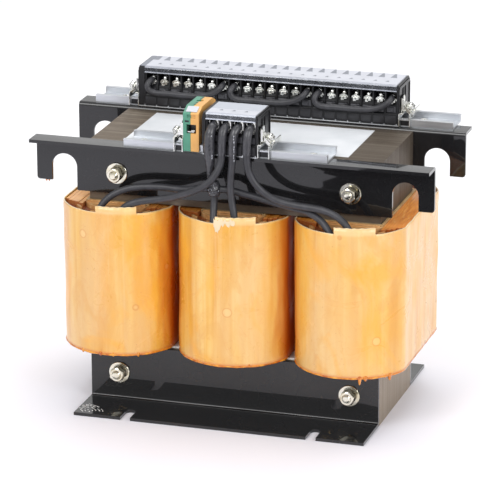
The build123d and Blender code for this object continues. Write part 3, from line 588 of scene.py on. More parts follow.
jumper_shape = (
    (0.0, 64.4, 291.3), (-0.9, 60.2, 290.9), (-3.0, 57.2, 287.0), (-2.2, 56.9, 282.4), (2.4, 56.9, 279.4),
    (9.5, 57.0, 279.2), (18.0, 57.0, 279.5), (33.7, 57.1, 279.0), (49.0, 57.0, 279.4), (60.0, 57.1, 281.4),
    (67.0, 57.2, 284.6), (71.8, 57.5, 288.6), (73.3, 60.6, 291.0), (73.2, 64.4, 291.3),
)
rear_first, pitch = -121.85, 12.2
front_poles = [-12.85, -0.65, 11.55, 23.75]
sleeve_start_y = -61.8 - 12.5 - 4.3 - 0.1
sleeve_routes = {
    "1": (9.0, [
        (front_poles[0], sleeve_start_y, 292.6), (front_poles[0], -82.6, 292.6),
        (front_poles[0] - 1.4, -89.2, 284.0), (front_poles[0] - 1.6, -88.8, 266.0),
        (-14.5, -85.0, 248.0), (-14.5, -85.0, 236.0),
    ]),
    "2": (8.2, [
        (front_poles[1], sleeve_start_y, 292.2), (front_poles[1], -82.6, 292.2), (-2.3, -88.5, 284.5),
        (-2.3, -88.5, 266.0),
    ]),
    "3": (8.2, [
        (front_poles[2], sleeve_start_y, 292.2), (front_poles[2], -82.6, 292.2), (8.2, -88.5, 284.5),
        (8.2, -88.5, 266.0),
    ]),
    "4": (8.2, [
        (front_poles[3], sleeve_start_y, 292.2), (front_poles[3], -82.6, 292.2), (22.2, -88.5, 284.5),
        (22.2, -88.5, 268.0),
    ]),
}


def nurbs(name, points, diameter=0.0):
    data = bpy.data.curves.new(name, "CURVE")
    data.dimensions = "3D"
    data.resolution_u = 16
    data.bevel_depth = diameter / 2 * MM
    data.bevel_resolution = 8
    data.use_fill_caps = True
    spline = data.splines.new("NURBS")
    spline.points.add(len(points) - 1)
    for p, q in zip(spline.points, points):
        p.co = (q[0] * MM, q[1] * MM, q[2] * MM, 1.0)
    spline.order_u = 3
    spline.use_endpoint_u = True
    return data


def nurbs_line(points):
    """Points of the route's own smooth line, in metres."""
    data = nurbs("line_only", points)
    bare = bpy.data.objects.new("line_only", data)
    mesh = bpy.data.meshes.new_from_object(bare)
    line = [v.co.copy() for v in mesh.vertices]
    bpy.data.objects.remove(bare)
    bpy.data.curves.remove(data)
    bpy.data.meshes.remove(mesh)
    return line


def cord(name, node, points, diameter):
    data = nurbs(name, points, diameter)
    data.materials.append(looks["lead_insulation"])
    obj = bpy.data.objects.new(name, data)
    scene.collection.objects.link(obj)
    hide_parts(node)
    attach(obj, "root")
    return obj


def sweep(line, radius_at, sides=28, seed=0):
    """A closed tube mesh along a line; radius_at(share, angle) gives its radius in metres."""
    n = len(line)
    total = sum((line[i + 1] - line[i]).length for i in range(n - 1))
    verts, faces = [], []
    tangent = (line[1] - line[0]).normalized()
    side = tangent.orthogonal().normalized()
    gone = 0.0
    for i in range(n):
        t = (line[min(i + 1, n - 1)] - line[max(i - 1, 0)]).normalized()
        side = (side - t * side.dot(t)).normalized()
        up = t.cross(side)
        if i:
            gone += (line[i] - line[i - 1]).length
        for k in range(sides):
            a = 2 * math.pi * k / sides
            r = radius_at(gone / total, a)
            verts.append(line[i] + side * (math.cos(a) * r) + up * (math.sin(a) * r))
    for i in range(n - 1):
        for k in range(sides):
            k2 = (k + 1) % sides
            faces.append((i * sides + k, i * sides + k2, (i + 1) * sides + k2, (i + 1) * sides + k))
    faces.append(tuple(range(sides))[::-1])
    faces.append(tuple((n - 1) * sides + k for k in range(sides)))
    return verts, faces


def even(line, step):
    """The same line with points about step metres apart."""
    out, left = [line[0].copy()], step
    for a, b in zip(line, line[1:]):
        d = (b - a).length
        while d >= left:
            a = a + (b - a) * (left / d)
            out.append(a.copy())
            d = (b - a).length
            left = step
        left -= d
    if (out[-1] - line[-1]).length > step * 0.3:
        out.append(line[-1].copy())
    return out


def sleeve(key):
    d, points = sleeve_routes[key]
    line = even(nurbs_line(points), 0.0006)
    r0 = d / 2 * MM
    seed = 10.0 * int(key)

    def radius(t, a):
        p = Vector((math.cos(a) * 1.7 + seed, math.sin(a) * 1.7, t * 34))
        q = Vector((math.cos(a) * 5 + seed, math.sin(a) * 5, t * 60))
        r = r0 * (0.97 + 0.05 * noise.noise(p) + 0.03 * noise.noise(q))
        if key == "1":
            r *= 1.0 + 0.16 * math.exp(-(((t - 0.42) / 0.25) ** 2)) - 0.42 * max(0.0, (t - 0.62) / 0.38) ** 1.3
        else:
            r *= 1.0 + 0.05 * math.exp(-(((t - 0.45) / 0.2) ** 2))
            r *= 1.0 - 0.10 * max(0.0, (t - 0.9) / 0.1)
        r *= 1.0 - 0.25 * max(0.0, (0.06 - t) / 0.06)
        return r

    verts, faces = sweep(line, radius, 32)
    me = mesh_of(f"sleeve_{key}", verts, faces)
    return piece(f"sleeve_{key}", me, "shrink_sleeve", ["lead_sleeves"] if key == "1" else (), smooth=True)


sleeves = {key: sleeve(key) for key in sleeve_routes}

for key, points in lead_routes.items():
    cord(
        f"flex_{key}",
        f"lead_{key}",
        points,
        lead_d,
    )
for key, pole in (("left", 0), ("middle", 7), ("right", 14)):
    x0 = rear_first + pole * pitch
    cord(f"link_{key}", f"jumper_{key}", [(x0 + x, y, z) for x, y, z in jumper_shape], jumper_d)


# ---------------------------------------------------------------- coil wraps
def outline(cx, half_w, cap_r, corner, cap_y=45.0, step=1.6):
    """Closed outline of a coil layer in millimetres, as (x, y, outward normal), anticlockwise from the middle of the rear end."""
    y_join = cap_y + math.sqrt(cap_r**2 - half_w**2)
    raw = []
    n_arc = 96
    a0 = math.acos(half_w / cap_r)
    for i in range(n_arc + 1):
        a = a0 + (math.pi - 2 * a0) * i / n_arc
        raw.append((cx + cap_r * math.cos(a), cap_y + cap_r * math.sin(a)))
    for i in range(n_arc + 1):
        a = math.pi + a0 + (math.pi - 2 * a0) * i / n_arc
        raw.append((cx + cap_r * math.cos(a), -cap_y + cap_r * math.sin(a)))
    # rounded joins between the ends and the flanks
    pts = []
    for i, p in enumerate(raw):
        pts.append(Vector((p[0], p[1], 0)))
    dense = []
    for a, b in zip(pts, pts[1:] + pts[:1]):
        k = max(1, int((b - a).length / 0.8))
        dense += [a.lerp(b, j / k) for j in range(k)]
    for _ in range(int(corner * 1.2)):
        dense = [
            dense[i] * 0.5 + (dense[i - 1] + dense[(i + 1) % len(dense)]) * 0.25 for i in range(len(dense))
        ]
    total = sum((dense[(i + 1) % len(dense)] - dense[i]).length for i in range(len(dense)))
    n = int(total / step)
    out, i, gone, at = [], 0, 0.0, 0.0
    seg = (dense[1] - dense[0]).length
    for k in range(n):
        want = total * k / n
        while gone + seg < want:
            gone += seg
            i += 1
            seg = (dense[(i + 1) % len(dense)] - dense[i % len(dense)]).length
        t = (want - gone) / seg if seg > 1e-9 else 0
        out.append(dense[i % len(dense)].lerp(dense[(i + 1) % len(dense)], t))
    result = []
    for k, p in enumerate(out):
        tan = out[(k + 1) % n] - out[k - 1]
        normal = Vector((tan.y, -tan.x, 0)).normalized()
        result.append((p.x, p.y, normal))
    return result


coils = {"left": -116.0, "middle": 0.0, "right": 116.0}
tab_span = {"left": (-8.4, 30.0), "middle": (-5.0, 32.0), "right": (-5.0, 32.5)}


def wrap(name):
    cx = coils[name]
    seed = {"left": 3.1, "middle": 17.7, "right": 41.3}[name]
    ring = outline(cx, 54.0, 57.0, 10)
    # more points where the tongue starts and ends
    a, b = cx + tab_span[name][0], cx + tab_span[name][1]
    cut = []
    for k, (x, y, nrm) in enumerate(ring):
        cut.append((x, y, nrm))
        x2, y2, n2 = ring[(k + 1) % len(ring)]
        if y < -60 and y2 < -60:
            for edge in (a, b):
                for e in (edge - 0.02, edge + 0.02) if x < x2 else (edge + 0.02, edge - 0.02):
                    if min(x, x2) < e < max(x, x2):
                        t = (e - x) / (x2 - x)
                        cut.append((x + (x2 - x) * t, y + (y2 - y) * t, nrm.lerp(n2, t).normalized()))
    ring = cut
    n = len(ring)
    zs = [60 + 142.5 * i / 66 for i in range(67)]
    verts, faces = [], []

    def swell(x, y, z, nrm):
        ang = math.atan2(nrm.y, nrm.x)
        p = Vector((math.cos(ang) * 2.2 + seed, math.sin(ang) * 2.2, z * 0.006))
        q = Vector((x * 0.05 + seed, y * 0.05, z * 0.022))
        s = Vector((x * 0.16 + seed, y * 0.16, z * 0.05))
        u = 0.3 + 1.1 * noise.noise(p) + 0.85 * noise.noise(q) + 0.22 * noise.noise(s)
        # the paper never sinks into the winding under it
        u = u if u > -0.2 else -0.2 - 0.45 * (1 - math.exp((u + 0.2) / 0.45))
        # the paper lies flatter near both edges
        hold = min(1.0, (z - 58) / 8, (206 - z) / 8)
        return u * max(0.25, hold)

    def top(x, y, nrm):
        if y < -60 and a <= x <= b:
            return 209.0 + 0.25 * math.sin(x * 0.9 + seed)
        return 202.5 + 0.35 * noise.noise(Vector((x * 0.09 + seed, y * 0.09, 0)))

    tops = [top(*r) for r in ring]
    for side in (0, 1):
        for i, z in enumerate(zs):
            for k, (x, y, nrm) in enumerate(ring):
                zz = 60 + (z - 60) / 142.5 * (min(tops[k], 203.2) - 60)
                u = swell(x, y, z, nrm) - (1.0 if side else 0.0)
                verts.append(Vector((x + nrm.x * u, y + nrm.y * u, zz)) * MM)
    rows = len(zs)
    for side in (0, 1):
        base = side * rows * n
        for i in range(rows - 1):
            for k in range(n):
                k2 = (k + 1) % n
                f = (base + i * n + k, base + i * n + k2, base + (i + 1) * n + k2, base + (i + 1) * n + k)
                faces.append(f if not side else f[::-1])
    # bottom edge
    for k in range(n):
        k2 = (k + 1) % n
        faces.append((k, rows * n + k, rows * n + k2, k2))
    # top edge, with the tongue raised from it
    o_top, i_top = (rows - 1) * n, rows * n + (rows - 1) * n
    extra = {}
    for k in range(n):
        if tops[k] > 206:
            for tag, start in (("o", o_top), ("i", i_top)):
                v = verts[start + k].copy()
                v.z = tops[k] * MM
                if tag == "o":
                    v += ring[k][2] * (0.25 * MM)
                extra[(tag, k)] = len(verts)
                verts.append(v)
    for k in range(n):
        k2 = (k + 1) % n
        up, up2 = ("o", k) in extra, ("o", k2) in extra
        if up and up2:
            faces.append((o_top + k, o_top + k2, extra[("o", k2)], extra[("o", k)]))
            faces.append((i_top + k2, i_top + k, extra[("i", k)], extra[("i", k2)]))
            faces.append((extra[("o", k)], extra[("o", k2)], extra[("i", k2)], extra[("i", k)]))
        else:
            faces.append((o_top + k, o_top + k2, i_top + k2, i_top + k))
            if up2:
                faces.append((o_top + k2, i_top + k2, extra[("i", k2)], extra[("o", k2)]))
            if up:
                faces.append((i_top + k, o_top + k, extra[("o", k)], extra[("i", k)]))
    me = mesh_of(f"wrap_{name}", verts, faces)
    me.materials.append(looks["varnished_wrap"])
    obj = piece(f"wrap_{name}", me, "varnished_wrap", [f"coil_wrap_{name}"])
    for p in me.polygons:
        p.use_smooth = abs(p.normal.z) < 0.6
    return obj, ring, swell


wraps = {name: wrap(name) for name in coils}

# ---------------------------------------------------------------- shared mesh tools
def clean_mesh(name, bm, sharp=19):
    me = bpy.data.meshes.new(name)
    bmesh.ops.recalc_face_normals(bm, faces=bm.faces)
    bm.to_mesh(me)
    bm.free()
    for extra in ("custom_normal",):
        if extra in me.attributes:
            me.attributes.remove(me.attributes[extra])
    me.materials.clear()
    for p in me.polygons:
        p.use_smooth = True
        p.material_index = 0
    me.set_sharp_from_angle(angle=math.radians(sharp))
    return me


def soften(bm, width, angle=32, segments=2):
    edges = [e for e in bm.edges if len(e.link_faces) == 2 and e.calc_face_angle(0) > math.radians(angle)]
    if edges:
        bmesh.ops.bevel(
            bm, geom=edges, offset=width * MM, offset_type="OFFSET", segments=segments, profile=0.5,
            affect="EDGES", clamp_overlap=True,
        )


def refine(node, width, slot_name=None, name=None, angle=32, segments=2):
    """A copy of a CAD node's mesh with its edges rounded as the real part's are."""
    bm = bmesh.new()
    bm.from_mesh(nodes[node].data)
    bmesh.ops.remove_doubles(bm, verts=bm.verts, dist=2e-6)
    bmesh.ops.dissolve_limit(
        bm, angle_limit=math.radians(0.8), verts=bm.verts, edges=bm.edges, use_dissolve_boundaries=False
    )
    soften(bm, width, angle, segments)
    me = clean_mesh(name or f"{node}_shape", bm, 17)
    return piece(name or f"{node}_shape", me, slot_name or slot_of[node], [node])


class Build:
    """Collects closed shells into one mesh; millimetres."""

    def __init__(self):
        self.bm = bmesh.new()

    def shell(self, verts, faces, width=0.0, angle=32, segments=2):
        bm = bmesh.new()
        vs = [bm.verts.new(Vector(v) * MM) for v in verts]
        for f in faces:
            bm.faces.new([vs[i] for i in f])
        bmesh.ops.recalc_face_normals(bm, faces=bm.faces)
        if width:
            soften(bm, width, angle, segments)
        tmp = bpy.data.meshes.new("tmp_shell")
        bm.to_mesh(tmp)
        bm.free()
        self.bm.from_mesh(tmp)
        bpy.data.meshes.remove(tmp)

    def prism(self, outline2, frame3, depth, width=0.0, **kw):
        """An outline in a plane (origin, u, v), pushed along u x v by depth."""
        o, u, v = (Vector(c) for c in frame3)
        n = u.cross(v).normalized()
        n_pts = len(outline2)
        verts = [o + u * a + v * b for a, b in outline2] + [o + u * a + v * b + n * depth for a, b in outline2]
        faces = [tuple(range(n_pts))[::-1], tuple(range(n_pts, 2 * n_pts))]
        faces += [(i, (i + 1) % n_pts, n_pts + (i + 1) % n_pts, n_pts + i) for i in range(n_pts)]
        self.shell(verts, faces, width, **kw)

    def box(self, lo, hi, width=0.0, **kw):
        (x0, y0, z0), (x1, y1, z1) = lo, hi
        self.prism(
            [(x0, y0), (x1, y0), (x1, y1), (x0, y1)], ((0, 0, z0), (1, 0, 0), (0, 1, 0)), z1 - z0, width, **kw
        )

    def lathe(self, profile, origin, axis, sides=40, shape=None):
        """Closed profile of (radius, along) pairs round an axis; radius 0 closes on the axis."""
        o, n = Vector(origin), Vector(axis).normalized()
        u = n.orthogonal().normalized()
        v = n.cross(u)
        verts, rows = [], []
        for r, t in profile:
            if r <= 1e-6:
                rows.append([len(verts)])
                verts.append(o + n * t)
            else:
                row = []
                for k in range(sides):
                    a = 2 * math.pi * k / sides
                    rr = shape(a, r, t) if shape else r
                    row.append(len(verts))
                    verts.append(o + n * t + u * (rr * math.cos(a)) + v * (rr * math.sin(a)))
                rows.append(row)
        faces = []
        closed = profile[0][0] > 1e-6 and profile[-1][0] > 1e-6
        pairs = list(zip(rows, rows[1:])) + ([(rows[-1], rows[0])] if closed else [])
        for a_row, b_row in pairs:
            for k in range(sides):
                k2 = (k + 1) % sides
                if len(a_row) == 1:
                    faces.append((a_row[0], b_row[k], b_row[k2]))
                elif len(b_row) == 1:
                    faces.append((a_row[k], a_row[k2], b_row[0]))
                else:
                    faces.append((a_row[k], a_row[k2], b_row[k2], b_row[k]))
        self.shell(verts, faces)

    def done(self, name, slot_name, replaces=(), sharp=21):
        me = clean_mesh(name, self.bm, sharp)
        return piece(name, me, slot_name, list(replaces))


# ---------------------------------------------------------------- parts kept in shape, with eased edges
for node_name, ease in (
    ("top_clamp_front", 0.45), ("top_clamp_rear", 0.45), ("foot_front", 0.45), ("foot_rear", 0.45),
    ("terminal_rail_front", 0.25), ("terminal_rail_rear", 0.25), ("earth_terminal_green", 0.4),
    ("earth_terminal_yellow", 0.4), ("earth_terminal_marker", 0.15),
    ("front_end_plates", 0.3), ("rear_end_plates", 0.3), ("front_terminal_bodies", 0.18),
    ("rear_terminal_bodies", 0.18), ("front_terminal_screws", 0.22), ("rear_terminal_screws", 0.22),
    ("rail_screws", 0.2), ("duct_sticks", 0.3), ("end_packing", 0.35),
    ("coil_former_left", 0.3), ("coil_former_middle", 0.3), ("coil_former_right", 0.3),
    ("name_plate", 0.06),
):
    refine(node_name, ease)

refine("clamp_spring_washers", 0.25, "dark_steel")
refine("coil_support_strips", 0.3, "strip_white")

# earth terminal: the wire entry lined with black pieces as painted shade in its hole, with the bright foot of its
# clamp, dark marks on top as painted shadows, and the lugs of the leads
entry, entry_bar, lugs = Build(), Build(), Build()
for lo, hi in (
    ((-38.9, -79.6, 282.7), (-29.7, -78.2, 283.4)), ((-38.9, -79.6, 290.2), (-29.7, -78.2, 291.1)),
    ((-38.9, -79.6, 283.4), (-38.2, -78.2, 290.2)), ((-30.4, -79.6, 283.4), (-29.7, -78.2, 290.2)),
    ((-38.6, -74.2, 282.8), (-30.0, -73.4, 291.0)),
):
    entry.box(lo, hi, 0.1)
# painted shadows: dark marks on the green top where its notches cast shade
for y in (-66.5, -60.0, -46.5, -41.5):
    entry.prism([(-36.3, y - 1.5), (-34.1, y - 0.4), (-34.7, y + 1.5), (-36.8, y + 0.8)], ((0, 0, 306.95), (1, 0, 0), (0, 1, 0)), 0.12)
entry.box((-40.5, -82.1, 293.4), (-36.5, -81.9, 295.2), 0.05)
entry.lathe([(0.0, 0.0), (3.1, 0.0), (3.1, 0.8), (0.0, 0.8)], (-35.0, -52.0, 294.2), (0, 0, 1), 24)
entry_bar.box((-38.0, -81.6, 283.6), (-31.4, -76.0, 284.7), 0.25)
entry_bar.box((-34.4, -81.7, 284.9), (-30.6, -77.0, 285.9), 0.25)
entry.done("earth_entry_painted_shade", "black_moulding", ["earth_terminal_clamp"])
entry_bar.done("earth_entry_bar", "bright_zinc")
for xc in front_poles:
    lugs.box((xc + 3.7, -80.6, 289.6), (xc + 5.6, -76.6, 296.4), 0.5)
    lugs.box((xc + 2.0, -79.4, 294.8), (xc + 5.2, -76.0, 297.2), 0.5)
    lugs.box((xc - 5.0, -78.4, 293.6), (xc - 3.9, -76.6, 296.0), 0.3)
lugs.done("lead_lugs", "bright_zinc")

# ---------------------------------------------------------------- clamp nuts, bolts and washers
bolt_spots = [(x, z) for x in (-116.0, 116.0) for z in (28.9, 231.0)]
plate_y, washer_t, spring_t, nut_h = 61.7, 1.6, 2.0, 6.5
nut_y = -(plate_y + washer_t + spring_t)


def hexed(b, origin, axis, af, height, turn, bore=0.0, both=True):
    """A hexagon with the cone-cut corners of a real nut or bolt head."""
    flat = af / 2
    crown = flat * 0.94

    def hexagon(a):
        k = (a + turn) % (math.pi / 3) - math.pi / 6
        return flat / math.cos(k)

    lift = math.tan(math.radians(28))
    o, n = Vector(origin), Vector(axis).normalized()
    u = n.orthogonal().normalized()
    v = n.cross(u)
    sides = 72
    rows = []
    low_cut = both

    def ring(radius_of, t_of):
        return [
            o + n * t_of(a) + u * (radius_of(a) * math.cos(a)) + v * (radius_of(a) * math.sin(a))
            for a in (2 * math.pi * k / sides for k in range(sides))
        ]

    if bore:
        rows.append(ring(lambda a: bore, lambda a: 0.5))
        rows.append(ring(lambda a: bore + 0.5, lambda a: 0.0))
    rows.append(ring(lambda a: crown, lambda a: 0.0))
    rows.append(ring(hexagon, lambda a: (hexagon(a) - crown) * lift if low_cut else 0.0))
    rows.append(ring(hexagon, lambda a: height - (hexagon(a) - crown) * lift))
    rows.append(ring(lambda a: crown, lambda a: height))
    if bore:
        rows.append(ring(lambda a: bore + 0.5, lambda a: height))
        rows.append(ring(lambda a: bore, lambda a: height - 0.5))
    verts = [p for row in rows for p in row]
    faces = []
    for i in range(len(rows) - 1):
        for k in range(sides):
            k2 = (k + 1) % sides
            faces.append((i * sides + k, i * sides + k2, (i + 1) * sides + k2, (i + 1) * sides + k))
    if bore:
        i = len(rows) - 1
        for k in range(sides):
            k2 = (k + 1) % sides
            faces.append((i * sides + k, i * sides + k2, k2, k))
    else:
        faces.append(tuple(range(sides))[::-1])
        faces.append(tuple((len(rows) - 1) * sides + k for k in range(sides)))
    b.shell(verts, faces)


nuts, bolts, washers = Build(), Build(), Build()
for i, (x, z) in enumerate(bolt_spots):
    turn = (0.35, 0.9, 0.55, 0.2)[i]
    hexed(nuts, (x, nut_y, z), (0, -1, 0), 13.0, nut_h, turn, bore=4.05)
    end = plate_y + washer_t + spring_t + nut_h + 2.2
    # threaded end of the bolt, with its turned tip
    profile = [(0.0, -80.0), (3.9, -80.0), (3.9, -nut_y - 1.0)]
    y = -nut_y - 1.0
    while y < end - 1.3:
        profile += [(3.55, y + 0.05), (3.98, y + 0.32), (3.98, y + 0.42)]
        y += 0.75
    profile += [(3.75, end - 1.1), (3.6, end - 0.7), (3.2, end - 0.3), (2.5, end - 0.1), (1.5, end), (0.0, end)]
    bolts.lathe(profile, (x, 0, z), (0, -1, 0), 40)
    hexed(bolts, (x, plate_y + washer_t, z), (0, 1, 0), 13.0, 5.3, turn + 0.3, both=False)
    for y0, d in ((-plate_y, -1), (plate_y, 1)):
        washers.lathe(
            [(4.3, 0.0), (10.2, 0.0), (10.5, 0.35), (10.5, 1.15), (10.1, 1.6), (4.7, 1.6), (4.3, 1.2)],
            (x, y0, z), (0, d, 0), 64,
        )
nuts.done("clamp_nut_set", "nut_zinc", ["clamp_nuts"])
bolts.done("clamp_bolt_set", "yellow_zinc", ["clamp_bolts"])
washers.done("clamp_washer_set", "yellow_zinc", ["clamp_washers"])

# ---------------------------------------------------------------- terminal blocks
rows_of = {
    "front": (-61.8, -62.3, -19.7, 4, (2.9, 1.5)),
    "rear": (82.0, 80.5, -128.7, 21, (6.0, 1.9)),
}
hd = 21.25
for side, (yc, yr, x0, count, plates) in rows_of.items():
    toes, ledges, frames = Build(), Build(), Build()
    x_end = x0 + count * pitch
    for i in range(count):
        left = x0 + i * pitch
        for s in (-1, 1):
            # moulded toe of each pole over the rail
            ya, yb = sorted((yc + s * (hd + 0.7), yc + s * (hd - 1.0)))
            toes.box((left + 0.75, ya, 265.6), (left + pitch - 0.75, yb, 274.2), 0.9, segments=3)
            # stepped block under the contact
            ya = yc + s * (hd - 0.4)
            yb = yc + s * (hd - 4.4)
            frame3 = ((left + 2.3, 0, 0), (0, 1, 0), (0, 0, 1))
            ledges.prism([(ya, 277.4), (ya, 281.6), (yb, 285.6), (yb, 277.4)], frame3, 6.4, 0.4)
            ledges.box(
                (left + 8.9, min(ya, yb), 277.2), (left + 11.6, max(ya, yb), 283.0), 0.3
            )
    sill = Build()
    for s in (-1, 1):
        ya, yb = sorted((yc + s * (hd + 0.9), yc + s * (hd - 0.6)))
        sill.box((x0 - plates[0], ya, 263.9), (x_end + plates[1], yb, 264.9), 0.2)
        for i in range(count + 1):
            x = x0 + i * pitch
            ya, yb = sorted((yc + s * (hd + 0.6), yc + s * (hd - 0.2)))
            sill.box((x - 0.45, ya, 264.6), (x + 0.45, yb, 266.2), 0.15)
    sill.done(f"{side}_terminal_sill", "rail_aluminium")
    # painted light: the toes are painted a lighter grey than the black moulding
    toes.done(f"{side}_terminal_toes", "toe_moulding_painted_light")
    # painted highlight: the stepped blocks are painted a lighter grey than the black moulding
    ledges.done(f"{side}_terminal_ledges", "moulding_painted_highlight")
    # turned-down tails of the contact bars, and the domed heads over the screws
    tails = Build()
    for i in range(count):
        xc = x0 + i * pitch + 1.5 + 5.35
        for s in (-1, 1):
            ya, yb = sorted((yc + s * 18.3, yc + s * 17.3))
            tails.box((xc - 2.7, ya, 285.2), (xc + 0.6, yb, 288.6), 0.25)
            tails.box((xc - 0.8, ya, 286.4), (xc + 3.2, yb, 289.4), 0.25)
            tails.lathe(
                [(0.0, 3.1), (1.5, 3.0), (2.7, 2.5), (3.3, 1.6), (3.5, 0.6), (3.5, 0.0), (0.0, 0.0)],
                (xc, yc + s * 12.5, 291.4), (0.08, 0.12 * s, 1), 20,
            )
            tails.prism(
                [(-4.2, 0), (4.2, 0), (4.2, 0.9), (1.9, 2.1), (-1.9, 2.1), (-4.2, 0.9)],
                ((xc, yc + s * 16.6, 289.1), (1, 0, 0), (0, 0, 1)), 0.8, 0.2,
            )
    tails.done(f"{side}_contact_tails", "bright_zinc")
    # raised border on the outer face of each end plate
    for x_face, d in ((x0 - plates[0], -1), (x_end + plates[1], 1)):
        for ya, za, yb, zb in (
            (yc - hd + 0.6, 273.0, yc - hd + 2.4, 300.0),
            (yc + hd - 2.4, 273.0, yc + hd - 0.6, 300.0),
            (yc - hd + 1.8, 299.4, yc + hd - 1.8, 302.6),
            (yc - 5.0, 276.0, yc - 3.6, 299.6),
            (yc + 3.6, 276.0, yc + 5.0, 299.6),
        ):
            xa, xb = sorted((x_face - d * 0.2, x_face + d * 0.9))
            frames.box((xa, ya, za), (xb, yb, zb), 0.3)
    frames.done(f"{side}_end_plate_ribs", "black_moulding")

    # clear cover with a thick rounded edge and a lip along its skirt
    cover = Build()
    t = 1.25
    lid = [
        (yc - hd - 0.25, 298.2), (yc - hd - 0.35, 298.8), (yc - hd, 299.3), (yc - hd, 303.0),
        (yc - hd + 0.5, 304.1), (yc - hd + 1.5, 304.5), (yc + hd - 1.5, 304.5), (yc + hd - 0.5, 304.1),
        (yc + hd, 303.0), (yc + hd, 299.3), (yc + hd + 0.35, 298.8), (yc + hd + 0.25, 298.2),
        (yc + hd - t, 298.2), (yc + hd - t, 303.2), (yc - hd + t, 303.2), (yc - hd + t, 298.2),
    ]
    cover.prism(lid, ((x0, 0, 0), (0, 1, 0), (0, 0, 1)), count * pitch - 0.06, 0.12, angle=40)
    # shallow ribs that stiffen the cover between the poles
    for i in range(1, count):
        x = x0 + i * pitch
        for s in (-1, 1):
            cover.box((x - 0.35, *sorted((yc + s * (hd - 0.1), yc + s * (hd + 0.3)))[:1], 299.2),
                      (x + 0.35, sorted((yc + s * (hd - 0.1), yc + s * (hd + 0.3)))[1], 302.8), 0.1)
    cover.done(f"{side}_cover_lid", "clear_cover", [f"{side}_terminal_cover"])

# labels on the covers: a white strip, grey clip windows at each pole
labels, patches = Build(), Build()
for side, (yc, yr, x0, count, plates) in rows_of.items():
    far_edge = 19.6 if side == "rear" else -4.6
    labels.box((x0 + 0.4, yc - 18.8, 304.45), (x0 + count * pitch - 0.5, yc + far_edge, 304.95), 0.1)
    for i in range(count):
        left = x0 + i * pitch
        if i:
            patches.prism(
                [(left - 1.9, yc - 10.6), (left + 1.7, yc - 10.6), (left + 0.7, yc - 6.8), (left - 0.6, yc - 6.8)],
                ((0, 0, 304.9), (1, 0, 0), (0, 1, 0)), 0.13,
            )
        if side == "rear":
            shape = [(left - 0.9, yc + 4.6), (left + 5.6, yc + 4.9), (left + 1.9, yc + 18.7), (left + 0.4, yc + 18.7)]
            if i == 0:
                shape = [(left + 0.7, yc + 4.5), (left + 6.2, yc + 4.5), (left + 5.6, yc + 18.5), (left + 0.7, yc + 18.5)]
            patches.prism(shape, ((0, 0, 304.9), (1, 0, 0), (0, 1, 0)), 0.13)
    if side == "rear":
        patches.box((x0 - plates[0] + 0.9, yc - 19.6, 304.4), (x0 - 0.1, yc + 19.6, 304.75), 0.1)
labels.done("cover_labels", "white_marker", ["front_marker_strip", "rear_marker_strip"])
patches.done("cover_windows", "film_grey")

# ---------------------------------------------------------------- end clamps on the rails
end_clamps = (
    (-42.6, -1, -62.3, 9.2), (30.7, 1, -62.3, 11.8), (-134.8, -1, 80.5, 10.5), (129.5, 1, 80.5, 11.6),
)
steel, bolts_small, clips = Build(), Build(), Build()
for x, s, yr, w in end_clamps:
    a, b = (x, x + w) if s > 0 else (x - w, x)
    t = 1.1
    top = 277.2
    # folded channel that hooks round both lips of the rail
    side_wall = [
        (yr - 20.4, 263.9), (yr - 18.0, 263.9), (yr - 18.0, 271.5), (yr + 18.0, 271.5), (yr + 18.0, 263.9),
        (yr + 20.2, 263.9), (yr + 20.2, top - 1.2), (yr + 19.0, top), (yr - 19.2, top), (yr - 20.4, top - 1.2),
    ]
    for xa in (a, b - t):
        steel.prism(side_wall, ((xa, 0, 0), (0, 1, 0), (0, 0, 1)), t, 0.3)
    near = a if s > 0 else b - 4.6
    steel.box((near + 0.5, yr - 20.4, top - t), (near + 4.2, yr + 20.2, top), 0.3)
    # tongue that stands against the terminals
    xt = x + s * 0.8
    tongue = [(yr - 14.5, top - 1), (yr - 14.5, 289.6), (yr - 12.6, 292.0), (yr - 3.4, 292.0), (yr - 1.6, 289.6), (yr - 1.6, top - 1)]
    steel.prism(tongue, ((min(xt, xt + s * 1.3), 0, 0), (0, 1, 0), (0, 0, 1)), 1.3, 0.35)
    steel.box((min(xt, xt + s * 3.4), yr - 15.2, 279.0), (max(xt, xt + s * 3.4), yr - 13.9, 290.6), 0.4)
    # arm folded down from it, with the clamping screw
    arm = [(s * 0.9, 284.9), (s * 3.2, 285.4), (s * 12.6, 275.4), (s * 12.6, 272.2), (s * 11.0, 272.2), (s * 1.6, 281.6)]
    steel.prism([(x + p, q) for p, q in arm], ((0, yr - 1.5, 0), (1, 0, 0), (0, 0, 1)), 11.5, 0.45)
    n = Vector((s * 1.0, -0.18, 0.9)).normalized()
    seat = Vector((x + s * 8.3, yr - 8.0, 280.4))
    steel.lathe(
        [(0.0, 0.0), (4.6, 0.0), (5.5, 1.3), (5.5, 2.2), (5.0, 2.2), (4.3, 1.1), (0.0, 1.1)], seat, n, 36
    )
    bolts_small.lathe(
        [(0.0, 0.9), (3.5, 0.9), (3.9, 1.5), (3.9, 3.3), (3.3, 4.4), (2.0, 5.1), (0.0, 5.35)], seat, n, 32
    )
    u = n.orthogonal().normalized()
    v = n.cross(u)
    for q, r in ((u, v), (v, u)):
        o = seat + n * 4.5 - q * 2.7 - r * 0.45
        clips.prism([(0, 0), (5.4, 0), (5.4, 0.9), (0, 0.9)], (o, q, r), 0.75 if q is u else -0.75, 0.0)
    # spring clip on the tongue
    clips.box((min(xt - s * 0.3, xt + s * 2.0), yr - 13.2, 286.6), (max(xt - s * 0.3, xt + s * 2.0), yr - 10.4, 292.6), 0.3)
    clips.box((a + t + 0.1, yr - 16.8, 264.5), (b - t - 0.1, yr - 16.2, 270.9), 0.1)
steel.done("end_clamp_steel", "bright_zinc", ["end_clamp_brackets"])
